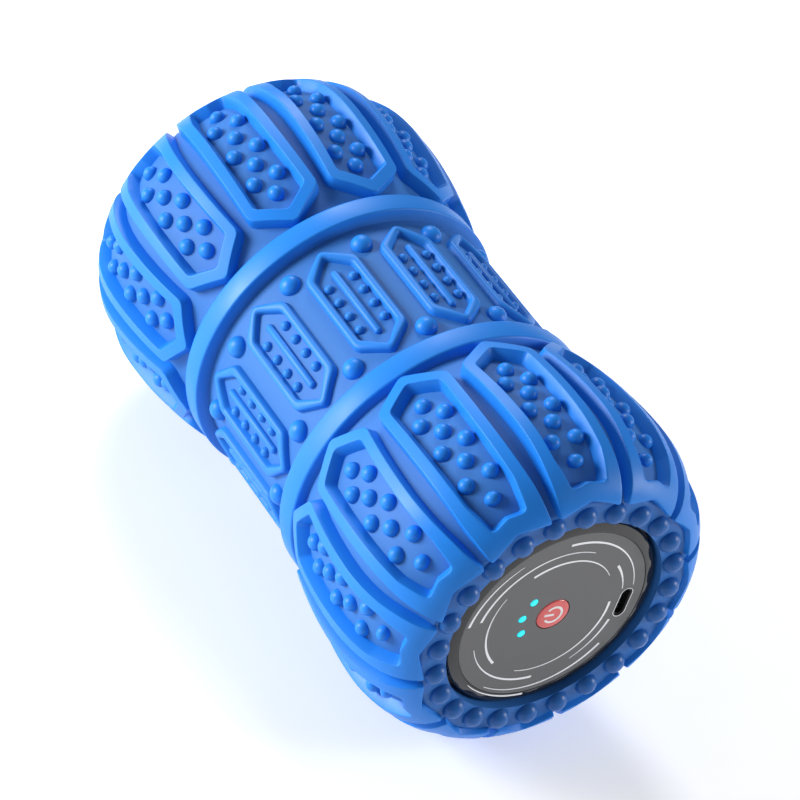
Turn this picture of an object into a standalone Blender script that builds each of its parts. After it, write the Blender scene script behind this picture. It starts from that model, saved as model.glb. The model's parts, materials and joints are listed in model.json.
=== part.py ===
"""Vibrating massage roller: a moulded tread sleeve on a rigid core with a motor and battery inside.

The roller lies on its side.  Its axis runs along X, with the control end at +X, and the
lowest tread touches z = 0 under the origin.  Angles round the axis start at +Y and grow
towards +Z.
"""
import math

import bmesh
import bpy
from mathutils import Matrix, Vector

MM = 0.001
DEG = math.pi / 180

# ---- Fits -------------------------------------------------------------------------------
TOUCH = 0.3 * MM            # gap between pieces that touch on the real roller
SLIDE = 0.3 * MM            # radial gap round a piece that slides or turns

# ---- Tread sleeve -----------------------------------------------------------------------
PITCHES = 12                # tread blocks round each bulge, and frames round the waist
CONTROL_TURN = 4.6 * DEG    # the control bulge's pattern is turned this way round the axis
REST_TURN = 0.0 * DEG       # the waist and the far bulge lie square, on one block
CORE_RADIUS = 36.0 * MM     # outside of the rigid tube inside the sleeve
END_FACE_X = 99.2 * MM      # flat ring at each end, from the middle of the roller
CROWN_X = END_FACE_X - 27.4 * MM    # where a bulge is widest
CROWN_RADIUS = CORE_RADIUS + 22.6 * MM
CROWN_ARC = 120.0 * MM      # radius of the crown's arc on the waist side
SHOULDER_LENGTH = 29.4 * MM     # the crown's quarter ellipse on the end side
RIM_HEIGHT = 3.8 * MM       # block rims above the grooves and the block panels
NOTCH_RADIUS = CORE_RADIUS + 10.4 * MM      # block's end edge at its middle
CORNER_RADIUS = CORE_RADIUS + 6.6 * MM      # block's end edge at its corners
GROOVE_END_RADIUS = CORE_RADIUS + 8.8 * MM
BLOCK_HALF_WIDTH = 12.0 * MM
BLOCK_END_HALF_WIDTH = 9.4 * MM
PANEL_HALF_WIDTH = 8.1 * MM
PANEL_END_HALF_WIDTH = 5.8 * MM
PANEL_END_X = (END_FACE_X - 1.2 * MM, END_FACE_X - 5.0 * MM)  # panel end: corners, middle
PANEL_WAIST_X = (45.2 * MM, 40.0 * MM)
BLOCK_WAIST_X = (44.0 * MM, 35.2 * MM)
BAND_X = (33.4 * MM, 27.2 * MM)
BAND_RADIUS = CORE_RADIUS + 16.4 * MM
BAND_HEIGHT = 3.1 * MM
WAIST_RADIUS = CORE_RADIUS + 12.1 * MM
FRAME_HEIGHT = 2.2 * MM
FRAME_HALF_WIDTH = 8.5 * MM
FRAME_INNER_HALF_WIDTH = 6.4 * MM
FRAME_X = (15.4 * MM, 23.0 * MM)        # frame's end: at its corners, at its point
FRAME_INNER_X = (13.9 * MM, 20.3 * MM)
STUD_RING_RADIUS = CORE_RADIUS + 4.0 * MM
STUD_RADIUS = 3.0 * MM
STUD_HEIGHT = 2.6 * MM
WAIST_DOME_X = 19.7 * MM
WAIST_DOME_RADIUS = 3.2 * MM
WAIST_DOME_HEIGHT = 2.7 * MM

# ---- Core tube and end caps -------------------------------------------------------------
CORE_WALL = 2.4 * MM
FACE_DEPTH = 1.2 * MM       # face plate below the sleeve's flat end ring
PLATE_THICKNESS = 1.6 * MM
FLANGE_THICKNESS = 1.4 * MM
FLANGE_RADIUS = CORE_RADIUS - 1.0 * MM
BEZEL_WIDTH = 2.4 * MM
BEZEL_RISE = 0.4 * MM       # bezel ring above the face plate
CAP_WALL = 2.2 * MM
SPIGOT_LENGTH = 14.0 * MM
GASKET_THICKNESS = 0.8 * MM
CAP_SCREW_RING = 25.5 * MM
CAP_SCREW_ANGLES = (50 * DEG, 130 * DEG, 270 * DEG)
SCREW_RADIUS = 1.3 * MM
SCREW_HEAD_RADIUS = 2.6 * MM
SCREW_HEAD_HEIGHT = 1.4 * MM
CAP_SCREW_LENGTH = 22.0 * MM

# ---- Controls ---------------------------------------------------------------------------
CONTROL_ANGLE = 177.5 * DEG     # from the axis towards the middle indicator
BUTTON_RADIUS = 5.5 * MM
BUTTON_RISE = 0.25 * MM
BUTTON_TRAVEL = 0.5 * MM
BUTTON_THICKNESS = 1.5 * MM
BUTTON_STEM_RADIUS = 2.0 * MM
LIGHT_RING_RADIUS = 10.9 * MM
LIGHT_STEP = 34.0 * DEG
LIGHT_RADIUS = 1.35 * MM
PORT_RADIUS = 25.7 * MM         # charging port, across the axis from the indicators
PORT_LENGTH = 9.2 * MM
PORT_WIDTH = 3.2 * MM
PORT_RIM = 0.6 * MM
SOCKET_WALL = 0.4 * MM
SOCKET_DEPTH = 6.0 * MM
BOARD_DEPTH = 10.0 * MM         # front of the circuit board below the face plate
BOARD_THICKNESS = 1.6 * MM
BOARD_Y = (-20.0 * MM, 28.0 * MM)
BOARD_HALF_WIDTH = 12.0 * MM
BOARD_SCREW_PLACES = ((16.0 * MM, 8.5 * MM), (-16.0 * MM, -8.5 * MM))
BOSS_RADIUS = 2.8 * MM
SWITCH_SIZE = 6.0 * MM
SWITCH_HEIGHT = 3.2 * MM
PLUNGER_RADIUS = 1.7 * MM
PLUNGER_RISE = 0.9 * MM
LIGHT_CHIP_SIZE = 1.6 * MM

# ---- Chassis, motor and battery ---------------------------------------------------------
CHASSIS_HALF_LENGTH = END_FACE_X - 25.2 * MM
CHASSIS_WALL = 2.0 * MM
CHASSIS_END_WALL = 3.0 * MM
CHASSIS_OPENING = 6.0 * MM      # end wall's inner edge inside the cap screws' ring
LUG_X = 62.0 * MM
LUG_SIZE = (9.0 * MM, 9.5 * MM, 9.0 * MM)
LUG_SINK = 0.5 * MM         # how far a screw lug runs into the chassis wall
CHASSIS_SCREW_LENGTH = 14.0 * MM
RIB_THICKNESS = 5.0 * MM
MOTOR_X = (16.0 * MM, 50.0 * MM)
MOTOR_RADIUS = 14.0 * MM
MOTOR_WALL = 1.2 * MM
BELL_THICKNESS = 3.0 * MM
MOUNT_THICKNESS = 3.0 * MM
MOUNT_INSET = 2.0 * MM
SHAFT_RADIUS = 1.6 * MM
SHAFT_OVERHANG = 14.0 * MM
WEIGHT_GAP = 2.5 * MM
WEIGHT_THICKNESS = 9.0 * MM
WEIGHT_RADIUS = 12.0 * MM
WEIGHT_HUB_RADIUS = 4.0 * MM
SET_SCREW_RADIUS = 1.0 * MM
SET_SCREW_LENGTH = 2.0 * MM
CELL_RADIUS = 9.1 * MM
CELL_LENGTH = 65.0 * MM
CELL_BACK_X = -68.0 * MM
CELL_GAP = 0.6 * MM
PAD_INSET = 8.0 * MM
PAD_THICKNESS = 6.0 * MM
PAD_HALF_WIDTH = 14.0 * MM
STRIP_THICKNESS = 0.4 * MM
STRIP_WIDTH = 6.0 * MM
WIRE_RADIUS = 0.8 * MM
WIRE_SIDE = 10.0 * MM           # side of the wires past the motor
WIRE_LIFT = 2.7 * MM            # height of the wires over the motor mounts
WIRE_HOLE_RADIUS = 2.2 * MM

# ---- Sizes that follow from the ones above ----------------------------------------------
BORE_RADIUS = CORE_RADIUS + TOUCH
CORE_INNER_RADIUS = CORE_RADIUS - CORE_WALL
FACE_X = END_FACE_X - FACE_DEPTH
PLATE_BACK_X = FACE_X - PLATE_THICKNESS
FLANGE_FRONT_X = PLATE_BACK_X - TOUCH
FLANGE_BACK_X = FLANGE_FRONT_X - FLANGE_THICKNESS
GASKET_FRONT_X = FLANGE_BACK_X - TOUCH
CORE_HALF_LENGTH = GASKET_FRONT_X - GASKET_THICKNESS - TOUCH
SPIGOT_RADIUS = CORE_INNER_RADIUS - TOUCH
SPIGOT_BACK_X = FLANGE_BACK_X - SPIGOT_LENGTH
CAP_INNER_X = FLANGE_BACK_X - CAP_WALL + FLANGE_THICKNESS
BEZEL_INNER_RADIUS = FLANGE_RADIUS - BEZEL_WIDTH
PLATE_RADIUS = BEZEL_INNER_RADIUS - TOUCH
BOARD_FRONT_X = FACE_X - BOARD_DEPTH
BOARD_BACK_X = BOARD_FRONT_X - BOARD_THICKNESS
CHASSIS_RADIUS = CORE_INNER_RADIUS - TOUCH
CHASSIS_INNER_RADIUS = CHASSIS_RADIUS - CHASSIS_WALL
PORT_ANGLE = CONTROL_ANGLE + 180 * DEG
MOUNT_INNER_RADIUS = MOTOR_RADIUS + TOUCH
MOUNT_OUTER_RADIUS = MOUNT_INNER_RADIUS + MOUNT_THICKNESS
RIB_INNER_RADIUS = MOUNT_OUTER_RADIUS + TOUCH
WIRE_RUN = (WIRE_SIDE, MOUNT_OUTER_RADIUS + WIRE_LIFT)
SHOULDER_DROP = CROWN_RADIUS - CORNER_RADIUS + 0.4 * MM


# ---- Helpers ----------------------------------------------------------------------------
def clear_scene():
    """Remove every object that the file starts with."""
    for thing in list(bpy.data.objects):
        bpy.data.objects.remove(thing, do_unlink=True)


def make_material(name, colour, roughness, metallic=0.0):
    """Make a Principled material with one colour."""
    material = bpy.data.materials.new(name)
    material.use_nodes = True
    shader = material.node_tree.nodes["Principled BSDF"]
    shader.inputs["Base Color"].default_value = (*colour, 1.0)
    shader.inputs["Roughness"].default_value = roughness
    shader.inputs["Metallic"].default_value = metallic
    return material


def add_object(name, data, material, place=(0, 0, 0)):
    """Link a mesh or curve to the scene at a place in the roller's own frame."""
    thing = bpy.data.objects.new(name, data)
    bpy.context.scene.collection.objects.link(thing)
    thing.location = place
    thing.parent = roller_axis
    if material is not None:
        data.materials.append(material)
    return thing


def finish_mesh(name, bm, smooth_angle=30 * DEG):
    """Turn a bmesh into a mesh with outward faces, smooth except at sharp edges."""
    bmesh.ops.remove_doubles(bm, verts=bm.verts, dist=1e-7)
    bmesh.ops.recalc_face_normals(bm, faces=bm.faces)
    mesh = bpy.data.meshes.new(name)
    bm.to_mesh(mesh)
    bm.free()
    mesh.shade_smooth()
    mesh.set_sharp_from_angle(angle=smooth_angle)
    return mesh


def cylinder_mesh(name, length, radius, segments=16):
    """A cylinder along X, centred on its origin."""
    bm = bmesh.new()
    bmesh.ops.create_cone(
        bm, cap_ends=True, segments=segments, radius1=radius, radius2=radius, depth=length,
        matrix=Matrix.Rotation(90 * DEG, 4, "Y"))
    return finish_mesh(name, bm)


def rod(name, x_range, radius, material, place=(0.0, 0.0), segments=16):
    """A cylinder along X between two stations, its centre at place (y, z)."""
    low, high = min(x_range), max(x_range)
    mesh = cylinder_mesh(name, high - low, radius, segments)
    return add_object(name, mesh, material, ((low + high) / 2, *place))


def box_mesh(name, size):
    """A block centred on its origin."""
    bm = bmesh.new()
    bmesh.ops.create_cube(bm, size=1.0, matrix=Matrix.Diagonal((*size, 1.0)))
    return finish_mesh(name, bm)


def block(name, low, high, material):
    """A block between two corners."""
    size = [top - bottom for top, bottom in zip(high, low)]
    centre = [(top + bottom) / 2 for top, bottom in zip(high, low)]
    return add_object(name, box_mesh(name, size), material, centre)


def turned_mesh(name, outline, segments=32, start=0.0, sweep=360 * DEG):
    """Spin a closed outline of (x, radius) points round the X axis."""
    bm = bmesh.new()
    ring = [bm.verts.new((x, radius * math.cos(start), radius * math.sin(start)))
            for x, radius in outline]
    if sweep < 359 * DEG:
        edges = [bm.faces.new(ring)]
    else:
        edges = [bm.edges.new((a, b)) for a, b in zip(ring, ring[1:] + ring[:1])]
    bmesh.ops.spin(
        bm, geom=edges, cent=(0, 0, 0), axis=(1, 0, 0), dvec=(0, 0, 0), angle=sweep,
        steps=segments, use_merge=sweep >= 359 * DEG, use_duplicate=False)
    return finish_mesh(name, bm)


def turned(name, outline, material, segments=32):
    """A turned piece on the roller's axis."""
    return add_object(name, turned_mesh(name, outline, segments), material)


def polar(radius, angle):
    """The (y, z) place at a radius and an angle round the axis."""
    return radius * math.cos(angle), radius * math.sin(angle)


def obround_mesh(name, depth, length, width, corner_steps=6):
    """A prism along X with round ends, long in Y."""
    bm = bmesh.new()
    radius = width / 2
    half = length / 2 - radius
    verts = []
    for side in (1, -1):
        for step in range(corner_steps + 1):
            turn = side * (-90 + 180 * step / corner_steps) * DEG
            y = side * half + side * radius * math.cos(turn)
            verts.append(bm.verts.new((-depth / 2, y, radius * math.sin(turn))))
    face = bm.faces.new(verts)
    swept = bmesh.ops.extrude_face_region(bm, geom=[face])
    moved = [item for item in swept["geom"] if isinstance(item, bmesh.types.BMVert)]
    bmesh.ops.translate(bm, verts=moved, vec=(depth, 0, 0))
    return finish_mesh(name, bm)


def port_piece(name, x_range, length, width, material):
    """An obround prism at the charging port, its long side round the axis."""
    low, high = min(x_range), max(x_range)
    mesh = obround_mesh(name, high - low, length, width)
    piece = add_object(name, mesh, material, ((low + high) / 2, *polar(PORT_RADIUS, PORT_ANGLE)))
    piece.rotation_euler = (PORT_ANGLE + 90 * DEG, 0, 0)
    return piece


def use_boolean(target, other, operation):
    """Join or cut target with a guide object, which stays out of the model."""
    other.hide_render = True
    other.display_type = "WIRE"
    modifier = target.modifiers.new(f"{operation.lower()} {other.name}", "BOOLEAN")
    modifier.operation = operation
    modifier.solver = "EXACT"
    modifier.object = other


def cut(target, *cutters):
    """Cut guides out of target."""
    for cutter in cutters:
        use_boolean(target, cutter, "DIFFERENCE")


def join(target, *pieces):
    """Join guides onto target."""
    for piece in pieces:
        use_boolean(target, piece, "UNION")


# ---- Tread sleeve -----------------------------------------------------------------------
def crown(x):
    """Radius and outward normal (x, radius) of the block tops at a station."""
    if x <= CROWN_X:
        run = CROWN_X - x
        fall = math.sqrt(CROWN_ARC ** 2 - run ** 2)
        return CROWN_RADIUS - CROWN_ARC + fall, Vector((-run, fall)).normalized()
    along = min((x - CROWN_X) / SHOULDER_LENGTH, 1.0)
    up = math.sqrt(1 - along ** 2)
    normal = Vector((along / SHOULDER_LENGTH, up / SHOULDER_DROP)).normalized()
    return CROWN_RADIUS - SHOULDER_DROP * (1 - up), normal


def shoulder_station(radius):
    """Station at which the crown's end side has a given radius."""
    up = max(1 - (CROWN_RADIUS - radius) / SHOULDER_DROP, 0.0)
    return CROWN_X + SHOULDER_LENGTH * math.sqrt(1 - up ** 2)


def angle_of(half_width, radius):
    """Half angle that a half width takes at a radius."""
    return math.asin(min(half_width / radius, 1.0))


def tread_ring(turn, stations, half_width, inner_half_width):
    """One ring across a bulge: stations for the groove, block edge, panel edge and middle.

    Each entry is (angle in the pitch, floor point, top point), both points as (x, radius).
    """
    entries = []
    for station, half in zip(stations, (None, half_width, inner_half_width, 0.0)):
        radius, normal = crown(station)
        angle = 15 * DEG if half is None else angle_of(half, radius)
        floor = (station - RIM_HEIGHT * normal[0], radius - RIM_HEIGHT * normal[1])
        entries.append((angle, floor, (station, radius)))
    return turn, entries


def end_ring(turn):
    """The ring where the block ends meet the flat end ring."""
    radii = (GROOVE_END_RADIUS, CORNER_RADIUS, 0.0, NOTCH_RADIUS)
    share = PANEL_END_HALF_WIDTH / BLOCK_END_HALF_WIDTH
    halves = (None, BLOCK_END_HALF_WIDTH, PANEL_END_HALF_WIDTH, 0.0)
    entries = []
    for radius, half in zip(radii, halves):
        if half == PANEL_END_HALF_WIDTH:
            radius = NOTCH_RADIUS + (CORNER_RADIUS - NOTCH_RADIUS) * share
        angle = 15 * DEG if half is None else angle_of(half, radius)
        entries.append((angle, (END_FACE_X, radius), (shoulder_station(radius), radius)))
    return turn, entries


def plain_ring(turn, station, radius, height, inner=(FRAME_HALF_WIDTH, FRAME_INNER_HALF_WIDTH)):
    """A ring at one station, such as the edge of a raised band or the bore."""
    angles = (15 * DEG, angle_of(inner[0], radius), angle_of(inner[1], radius), 0.0)
    return turn, [(angle, (station, radius), (station, radius + height)) for angle in angles]


def frame_ring(turn, stations):
    """A ring across the waist frames: stations for the groove, frame edges and middle."""
    halves = (None, FRAME_HALF_WIDTH, FRAME_INNER_HALF_WIDTH, 0.0)
    entries = []
    for station, half in zip(stations, halves):
        angle = 15 * DEG if half is None else angle_of(half, WAIST_RADIUS)
        floor = (station, WAIST_RADIUS)
        entries.append((angle, floor, (station, WAIST_RADIUS + FRAME_HEIGHT)))
    return turn, entries


def half_sleeve_rings(turn):
    """Rings from the bore's edge at one end to the middle of the waist, at positive x."""
    wide = (BLOCK_HALF_WIDTH, PANEL_HALF_WIDTH)
    point_share = FRAME_INNER_HALF_WIDTH / FRAME_HALF_WIDTH
    frame_inner = FRAME_X[1] + (FRAME_X[0] - FRAME_X[1]) * point_share
    block_share = PANEL_HALF_WIDTH / BLOCK_HALF_WIDTH
    block_inner = BLOCK_WAIST_X[1] + (BLOCK_WAIST_X[0] - BLOCK_WAIST_X[1]) * block_share
    panel_length = PANEL_END_X[1] - PANEL_WAIST_X[0]
    bore_share = BORE_RADIUS / CORNER_RADIUS
    bore_halves = (BLOCK_END_HALF_WIDTH * bore_share, PANEL_END_HALF_WIDTH * bore_share)
    rings = [plain_ring(turn, END_FACE_X, BORE_RADIUS, 0.0, bore_halves), end_ring(turn)]
    groove_end = (PANEL_END_X[0] + PANEL_END_X[1]) / 2
    end_stations = (groove_end, PANEL_END_X[0] - TOUCH, PANEL_END_X[0], PANEL_END_X[1])
    end_half = (BLOCK_HALF_WIDTH + 2 * BLOCK_END_HALF_WIDTH) / 3
    rings.append(tread_ring(turn, end_stations, end_half, PANEL_END_HALF_WIDTH))
    for share in (0.12, 0.30, 0.50, 0.72):
        station = PANEL_END_X[1] - share * panel_length
        rings.append(tread_ring(turn, (station,) * 4, *wide))
    waist_stations = (PANEL_WAIST_X[0], PANEL_WAIST_X[0] + 2 * MM, *PANEL_WAIST_X)
    rings.append(tread_ring(turn, waist_stations, *wide))
    block_stations = (sum(BLOCK_WAIST_X) / 2, BLOCK_WAIST_X[0], block_inner, BLOCK_WAIST_X[1])
    rings.append(tread_ring(turn, block_stations, *wide))
    band_floor = BAND_RADIUS - BAND_HEIGHT
    rings.append(plain_ring((turn + REST_TURN) / 2, BAND_X[0], band_floor, BAND_HEIGHT))
    rings.append(plain_ring(REST_TURN, BAND_X[1], band_floor, BAND_HEIGHT))
    groove = (FRAME_X[0] + FRAME_X[1]) / 2
    rings.append(frame_ring(REST_TURN, (groove, FRAME_X[0], frame_inner, FRAME_X[1])))
    inner_groove = groove - (FRAME_X[1] - FRAME_INNER_X[1])
    inner_edge = FRAME_INNER_X[0] - TOUCH
    rings.append(frame_ring(REST_TURN, (inner_groove, inner_edge, *FRAME_INNER_X)))
    return rings


def raised_cells():
    """Which cells of the half sleeve stand up: {ring: sections of the pitch}.

    A cell lies between a ring and the next one.  The six sections of a pitch run groove to
    block edge, block edge to panel edge, panel edge to middle, and back.
    """
    block = (1, 2, 3, 4)
    rim = (1, 4)
    everything = (0, 1, 2, 3, 4, 5)
    cells = {1: block, 7: block, 9: everything, 11: block}
    for ring in range(2, 7):
        cells[ring] = rim
    return cells


def sleeve_mesh():
    """The tread sleeve as one grid of rings and columns, with the raised cells extruded."""
    near = half_sleeve_rings(CONTROL_TURN)
    far = half_sleeve_rings(REST_TURN)
    mirrored = []
    for turn, entries in reversed(far):
        flipped = [(angle, (-floor[0], floor[1]), (-top[0], top[1]))
                   for angle, floor, top in entries]
        mirrored.append((turn, flipped))
    rings = near + mirrored
    raised = raised_cells()
    last = len(rings) - 1
    raised_far = {last - 1 - ring: cells for ring, cells in raised.items()}
    raised = {**raised, **raised_far, len(near) - 1: (1, 4)}

    bm = bmesh.new()
    key = bm.verts.layers.int.new("grid place")
    tops = []
    grid = []
    for turn, entries in rings:
        columns = []
        pitch = [(-entries[0][0], entries[0])]
        pitch += [(-entry[0], entry) for entry in entries[1:3]]
        pitch += [(entry[0], entry) for entry in (entries[3], entries[2], entries[1])]
        for number in range(PITCHES):
            for angle, (_, floor, top) in pitch:
                place = turn + number * 30 * DEG + angle
                vert = bm.verts.new((floor[0], *polar(floor[1], place)))
                tops.append(Vector((top[0], *polar(top[1], place))))
                vert[key] = len(tops) - 1
                columns.append(vert)
        grid.append(columns)
    standing = []
    count = len(grid[0])
    for ring, columns in enumerate(grid):
        following = grid[(ring + 1) % len(grid)]
        for column in range(count):
            right = (column + 1) % count
            face = bm.faces.new(
                (columns[column], columns[right], following[right], following[column]))
            if column % 6 in raised.get(ring, ()):
                standing.append(face)
    swept = bmesh.ops.extrude_face_region(bm, geom=standing)
    for item in swept["geom"]:
        if isinstance(item, bmesh.types.BMVert):
            item.co = tops[item[key]]
    leftover = [face for face in standing if face.is_valid]
    bmesh.ops.delete(bm, geom=leftover, context="FACES")
    bmesh.ops.triangulate(bm, faces=bm.faces)
    return finish_mesh("sleeve", bm, 25 * DEG)


def add_dome(bm, centre, outward, radius, height, sides=6):
    """Add one low dome, its foot sunk half its height into the surface."""
    turn = Vector((0, 0, 1)).rotation_difference(Vector(outward)).to_matrix()
    rings = []
    for level, share in ((-0.5, 1.08), (0.45, 0.84)):
        ring = []
        for side in range(sides):
            angle = 2 * math.pi * side / sides
            local = Vector((share * radius * math.cos(angle), share * radius * math.sin(angle),
                            level * height))
            ring.append(bm.verts.new(Vector(centre) + turn @ local))
        rings.append(ring)
    tip = bm.verts.new(Vector(centre) + turn @ Vector((0, 0, height)))
    bm.faces.new(list(reversed(rings[0])))
    for low, high in zip(rings, rings[1:]):
        for side in range(sides):
            after = (side + 1) % sides
            bm.faces.new((low[side], low[after], high[after], high[side]))
    for side in range(sides):
        bm.faces.new((rings[-1][side], rings[-1][(side + 1) % sides], tip))


def dome_guide():
    """All the end studs and waist domes, as one guide to join onto the sleeve."""
    bm = bmesh.new()
    for number in range(2 * PITCHES):
        for side, turn in ((1, CONTROL_TURN), (-1, REST_TURN)):
            place = turn + number * 180 * DEG / PITCHES
            centre = (side * END_FACE_X, *polar(STUD_RING_RADIUS, place))
            add_dome(bm, centre, (side, 0, 0), STUD_RADIUS, STUD_HEIGHT)
    for number in range(PITCHES):
        for side in (1, -1):
            place = REST_TURN + (number + 0.5) * 30 * DEG
            centre = (side * WAIST_DOME_X, *polar(WAIST_RADIUS * math.cos(4 * DEG), place))
            outward = (0, math.cos(place), math.sin(place))
            add_dome(bm, centre, outward, WAIST_DOME_RADIUS, WAIST_DOME_HEIGHT)
    return add_object("dome_guide", finish_mesh("dome_guide", bm), None)


def make_sleeve():
    """Tread sleeve, and the height of the axis when it lies on its lowest tread."""
    mesh = sleeve_mesh()
    height = -min(vert.co.z for vert in mesh.vertices)
    sleeve = add_object("sleeve", mesh, sleeve_blue)
    join(sleeve, dome_guide())
    return height


# ---- Core, caps and gaskets -------------------------------------------------------------
def make_core():
    """Rigid tube that the sleeve is pulled over, with a gasket at each end."""
    outline = [(-CORE_HALF_LENGTH, CORE_INNER_RADIUS), (CORE_HALF_LENGTH, CORE_INNER_RADIUS),
               (CORE_HALF_LENGTH, CORE_RADIUS), (-CORE_HALF_LENGTH, CORE_RADIUS)]
    turned("core_tube", outline, core_black)
    for name, side in (("front_gasket", 1), ("rear_gasket", -1)):
        back = side * (CORE_HALF_LENGTH + TOUCH)
        front = side * GASKET_FRONT_X
        ring = [(back, CORE_INNER_RADIUS), (front, CORE_INNER_RADIUS),
                (front, FLANGE_RADIUS), (back, FLANGE_RADIUS)]
        turned(name, ring, gasket_rubber)


def cap_outline(side):
    """Cup with a flange and a spigot that fits in the core tube."""
    inner = SPIGOT_RADIUS - CAP_WALL
    points = [(FLANGE_FRONT_X, 0.0), (FLANGE_FRONT_X, FLANGE_RADIUS),
              (FLANGE_BACK_X, FLANGE_RADIUS), (FLANGE_BACK_X, SPIGOT_RADIUS),
              (SPIGOT_BACK_X, SPIGOT_RADIUS), (SPIGOT_BACK_X, inner),
              (CAP_INNER_X, inner), (CAP_INNER_X, 0.0)]
    return [(side * x, radius) for x, radius in points]


def screw_mesh(name, length, segments=8):
    """Pan-head screw pointing towards -X, its head's underside at the origin."""
    outline = [(-length, 0.0), (-length + SCREW_RADIUS, SCREW_RADIUS), (0.0, SCREW_RADIUS),
               (0.0, SCREW_HEAD_RADIUS), (0.6 * SCREW_HEAD_HEIGHT, SCREW_HEAD_RADIUS),
               (SCREW_HEAD_HEIGHT, 0.6 * SCREW_HEAD_RADIUS), (SCREW_HEAD_HEIGHT, 0.0)]
    return turned_mesh(name, outline, segments)


def make_cap(name, screw_name, side):
    """An end cap, with the three screws that hold the chassis to it."""
    cap = turned(name, cap_outline(side), cap_black)
    head_seat = side * (FLANGE_FRONT_X - SCREW_HEAD_HEIGHT - TOUCH)
    mesh = screw_mesh(screw_name, CAP_SCREW_LENGTH)
    for number, angle in enumerate(CAP_SCREW_ANGLES):
        place = polar(CAP_SCREW_RING, angle)
        hole = rod(f"{name}_hole_{number}", (side * CHASSIS_HALF_LENGTH, side * END_FACE_X),
                   SCREW_RADIUS + TOUCH, None, place, 10)
        sink = rod(f"{name}_sink_{number}", (head_seat - side * TOUCH, side * END_FACE_X),
                   SCREW_HEAD_RADIUS + TOUCH, None, place, 16)
        boss = rod(f"{name}_boss_{number}",
                   (side * (CHASSIS_HALF_LENGTH + CHASSIS_END_WALL + 2 * TOUCH),
                    side * (CAP_INNER_X + 0.5 * MM)),
                   SCREW_HEAD_RADIUS + 1.6 * MM, None, place, 16)
        join(cap, boss)
        cut(cap, hole, sink)
        screw = add_object(f"{screw_name}_{number + 1}", mesh, screw_steel,
                           (head_seat, *place))
        screw.rotation_euler = (0, 0, 0 if side > 0 else 180 * DEG)
    return cap


def light_places():
    """(y, z) of the three indicators."""
    return [polar(LIGHT_RING_RADIUS, CONTROL_ANGLE + step * LIGHT_STEP) for step in (-1, 0, 1)]


def make_control_end():
    """Control cap, face plate, bezel ring and what is set in them."""
    cap = make_cap("control_cap", "cap_screw", 1)
    plate = turned("face_plate", [(PLATE_BACK_X, 0.0), (PLATE_BACK_X, PLATE_RADIUS),
                                  (FACE_X, PLATE_RADIUS), (FACE_X, 0.0)], plate_grey, 40)
    bezel_top = FACE_X + BEZEL_RISE
    turned("bezel_ring", [(PLATE_BACK_X, BEZEL_INNER_RADIUS), (PLATE_BACK_X, FLANGE_RADIUS),
                          (FACE_X - 2 * BEZEL_RISE, FLANGE_RADIUS),
                          (bezel_top, FLANGE_RADIUS - 0.4 * BEZEL_WIDTH),
                          (bezel_top, BEZEL_INNER_RADIUS + 0.3 * BEZEL_WIDTH),
                          (FACE_X, BEZEL_INNER_RADIUS)], bezel_black, 40)
    through = (CAP_INNER_X - 1 * MM, END_FACE_X)
    for number, place in enumerate(light_places()):
        guide = rod(f"light_hole_{number}", through, LIGHT_RADIUS + TOUCH, None, place, 16)
        cut(cap, guide)
        cut(plate, guide)
        rod(f"indicator_lens_{number + 1}", (BOARD_FRONT_X + 2 * MM, FACE_X + 0.05 * MM),
            LIGHT_RADIUS, lens_cyan, place, 16)
        x = BOARD_FRONT_X + TOUCH
        half = LIGHT_CHIP_SIZE / 2
        block(f"status_light_{number + 1}", (x, place[0] - half, place[1] - half),
              (x + 0.8 * MM, place[0] + half, place[1] + half), chip_white)
    cut(plate, rod("button_hole", through, BUTTON_RADIUS + SLIDE, None, segments=24))
    cut(cap, rod("stem_hole", through, BUTTON_STEM_RADIUS + SLIDE, None, segments=24))
    opening = (PORT_LENGTH + 2 * PORT_RIM, PORT_WIDTH + 2 * PORT_RIM)
    port_hole = port_piece("port_hole", through, opening[0] + 2 * TOUCH,
                           opening[1] + 2 * TOUCH, None)
    cut(plate, port_hole)
    cut(cap, port_hole)
    bezel = port_piece("port_bezel", (PLATE_BACK_X, FACE_X + 0.1 * MM), *opening, port_metal)
    cut(bezel, port_piece("port_mouth", through, PORT_LENGTH, PORT_WIDTH, None))
    for number, place in enumerate(BOARD_SCREW_PLACES):
        boss = rod(f"board_boss_{number}", (BOARD_FRONT_X + TOUCH, CAP_INNER_X + 0.5 * MM),
                   BOSS_RADIUS, None, place, 16)
        bore = rod(f"board_bore_{number}", (BOARD_FRONT_X, CAP_INNER_X + 0.2 * MM),
                   SCREW_RADIUS + TOUCH, None, place, 10)
        join(cap, boss)
        cut(cap, bore)


def make_rear_end():
    """Rear cap, with a plain plate over its screws."""
    make_cap("rear_cap", "rear_screw", -1)
    chamfer = 2 * BEZEL_RISE
    turned("rear_plate", [(-PLATE_BACK_X, 0.0), (-PLATE_BACK_X, FLANGE_RADIUS),
                          (-FACE_X + chamfer, FLANGE_RADIUS),
                          (-FACE_X, FLANGE_RADIUS - chamfer), (-FACE_X, 0.0)], cap_black)


def make_button():
    """Power button: a red cap with a stem that reaches the switch."""
    top = FACE_X + BUTTON_RISE
    under = top - BUTTON_THICKNESS
    tip = switch_top() + TOUCH
    outline = [(tip, 0.0), (tip, BUTTON_STEM_RADIUS), (under, BUTTON_STEM_RADIUS),
               (under, BUTTON_RADIUS), (top - 0.3 * MM, BUTTON_RADIUS),
               (top, BUTTON_RADIUS - 0.5 * MM), (top, 0.0)]
    turned("power_button", outline, button_red, 24)


def switch_top():
    """Station of the switch plunger's tip."""
    return BOARD_FRONT_X + TOUCH + SWITCH_HEIGHT + PLUNGER_RISE


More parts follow.
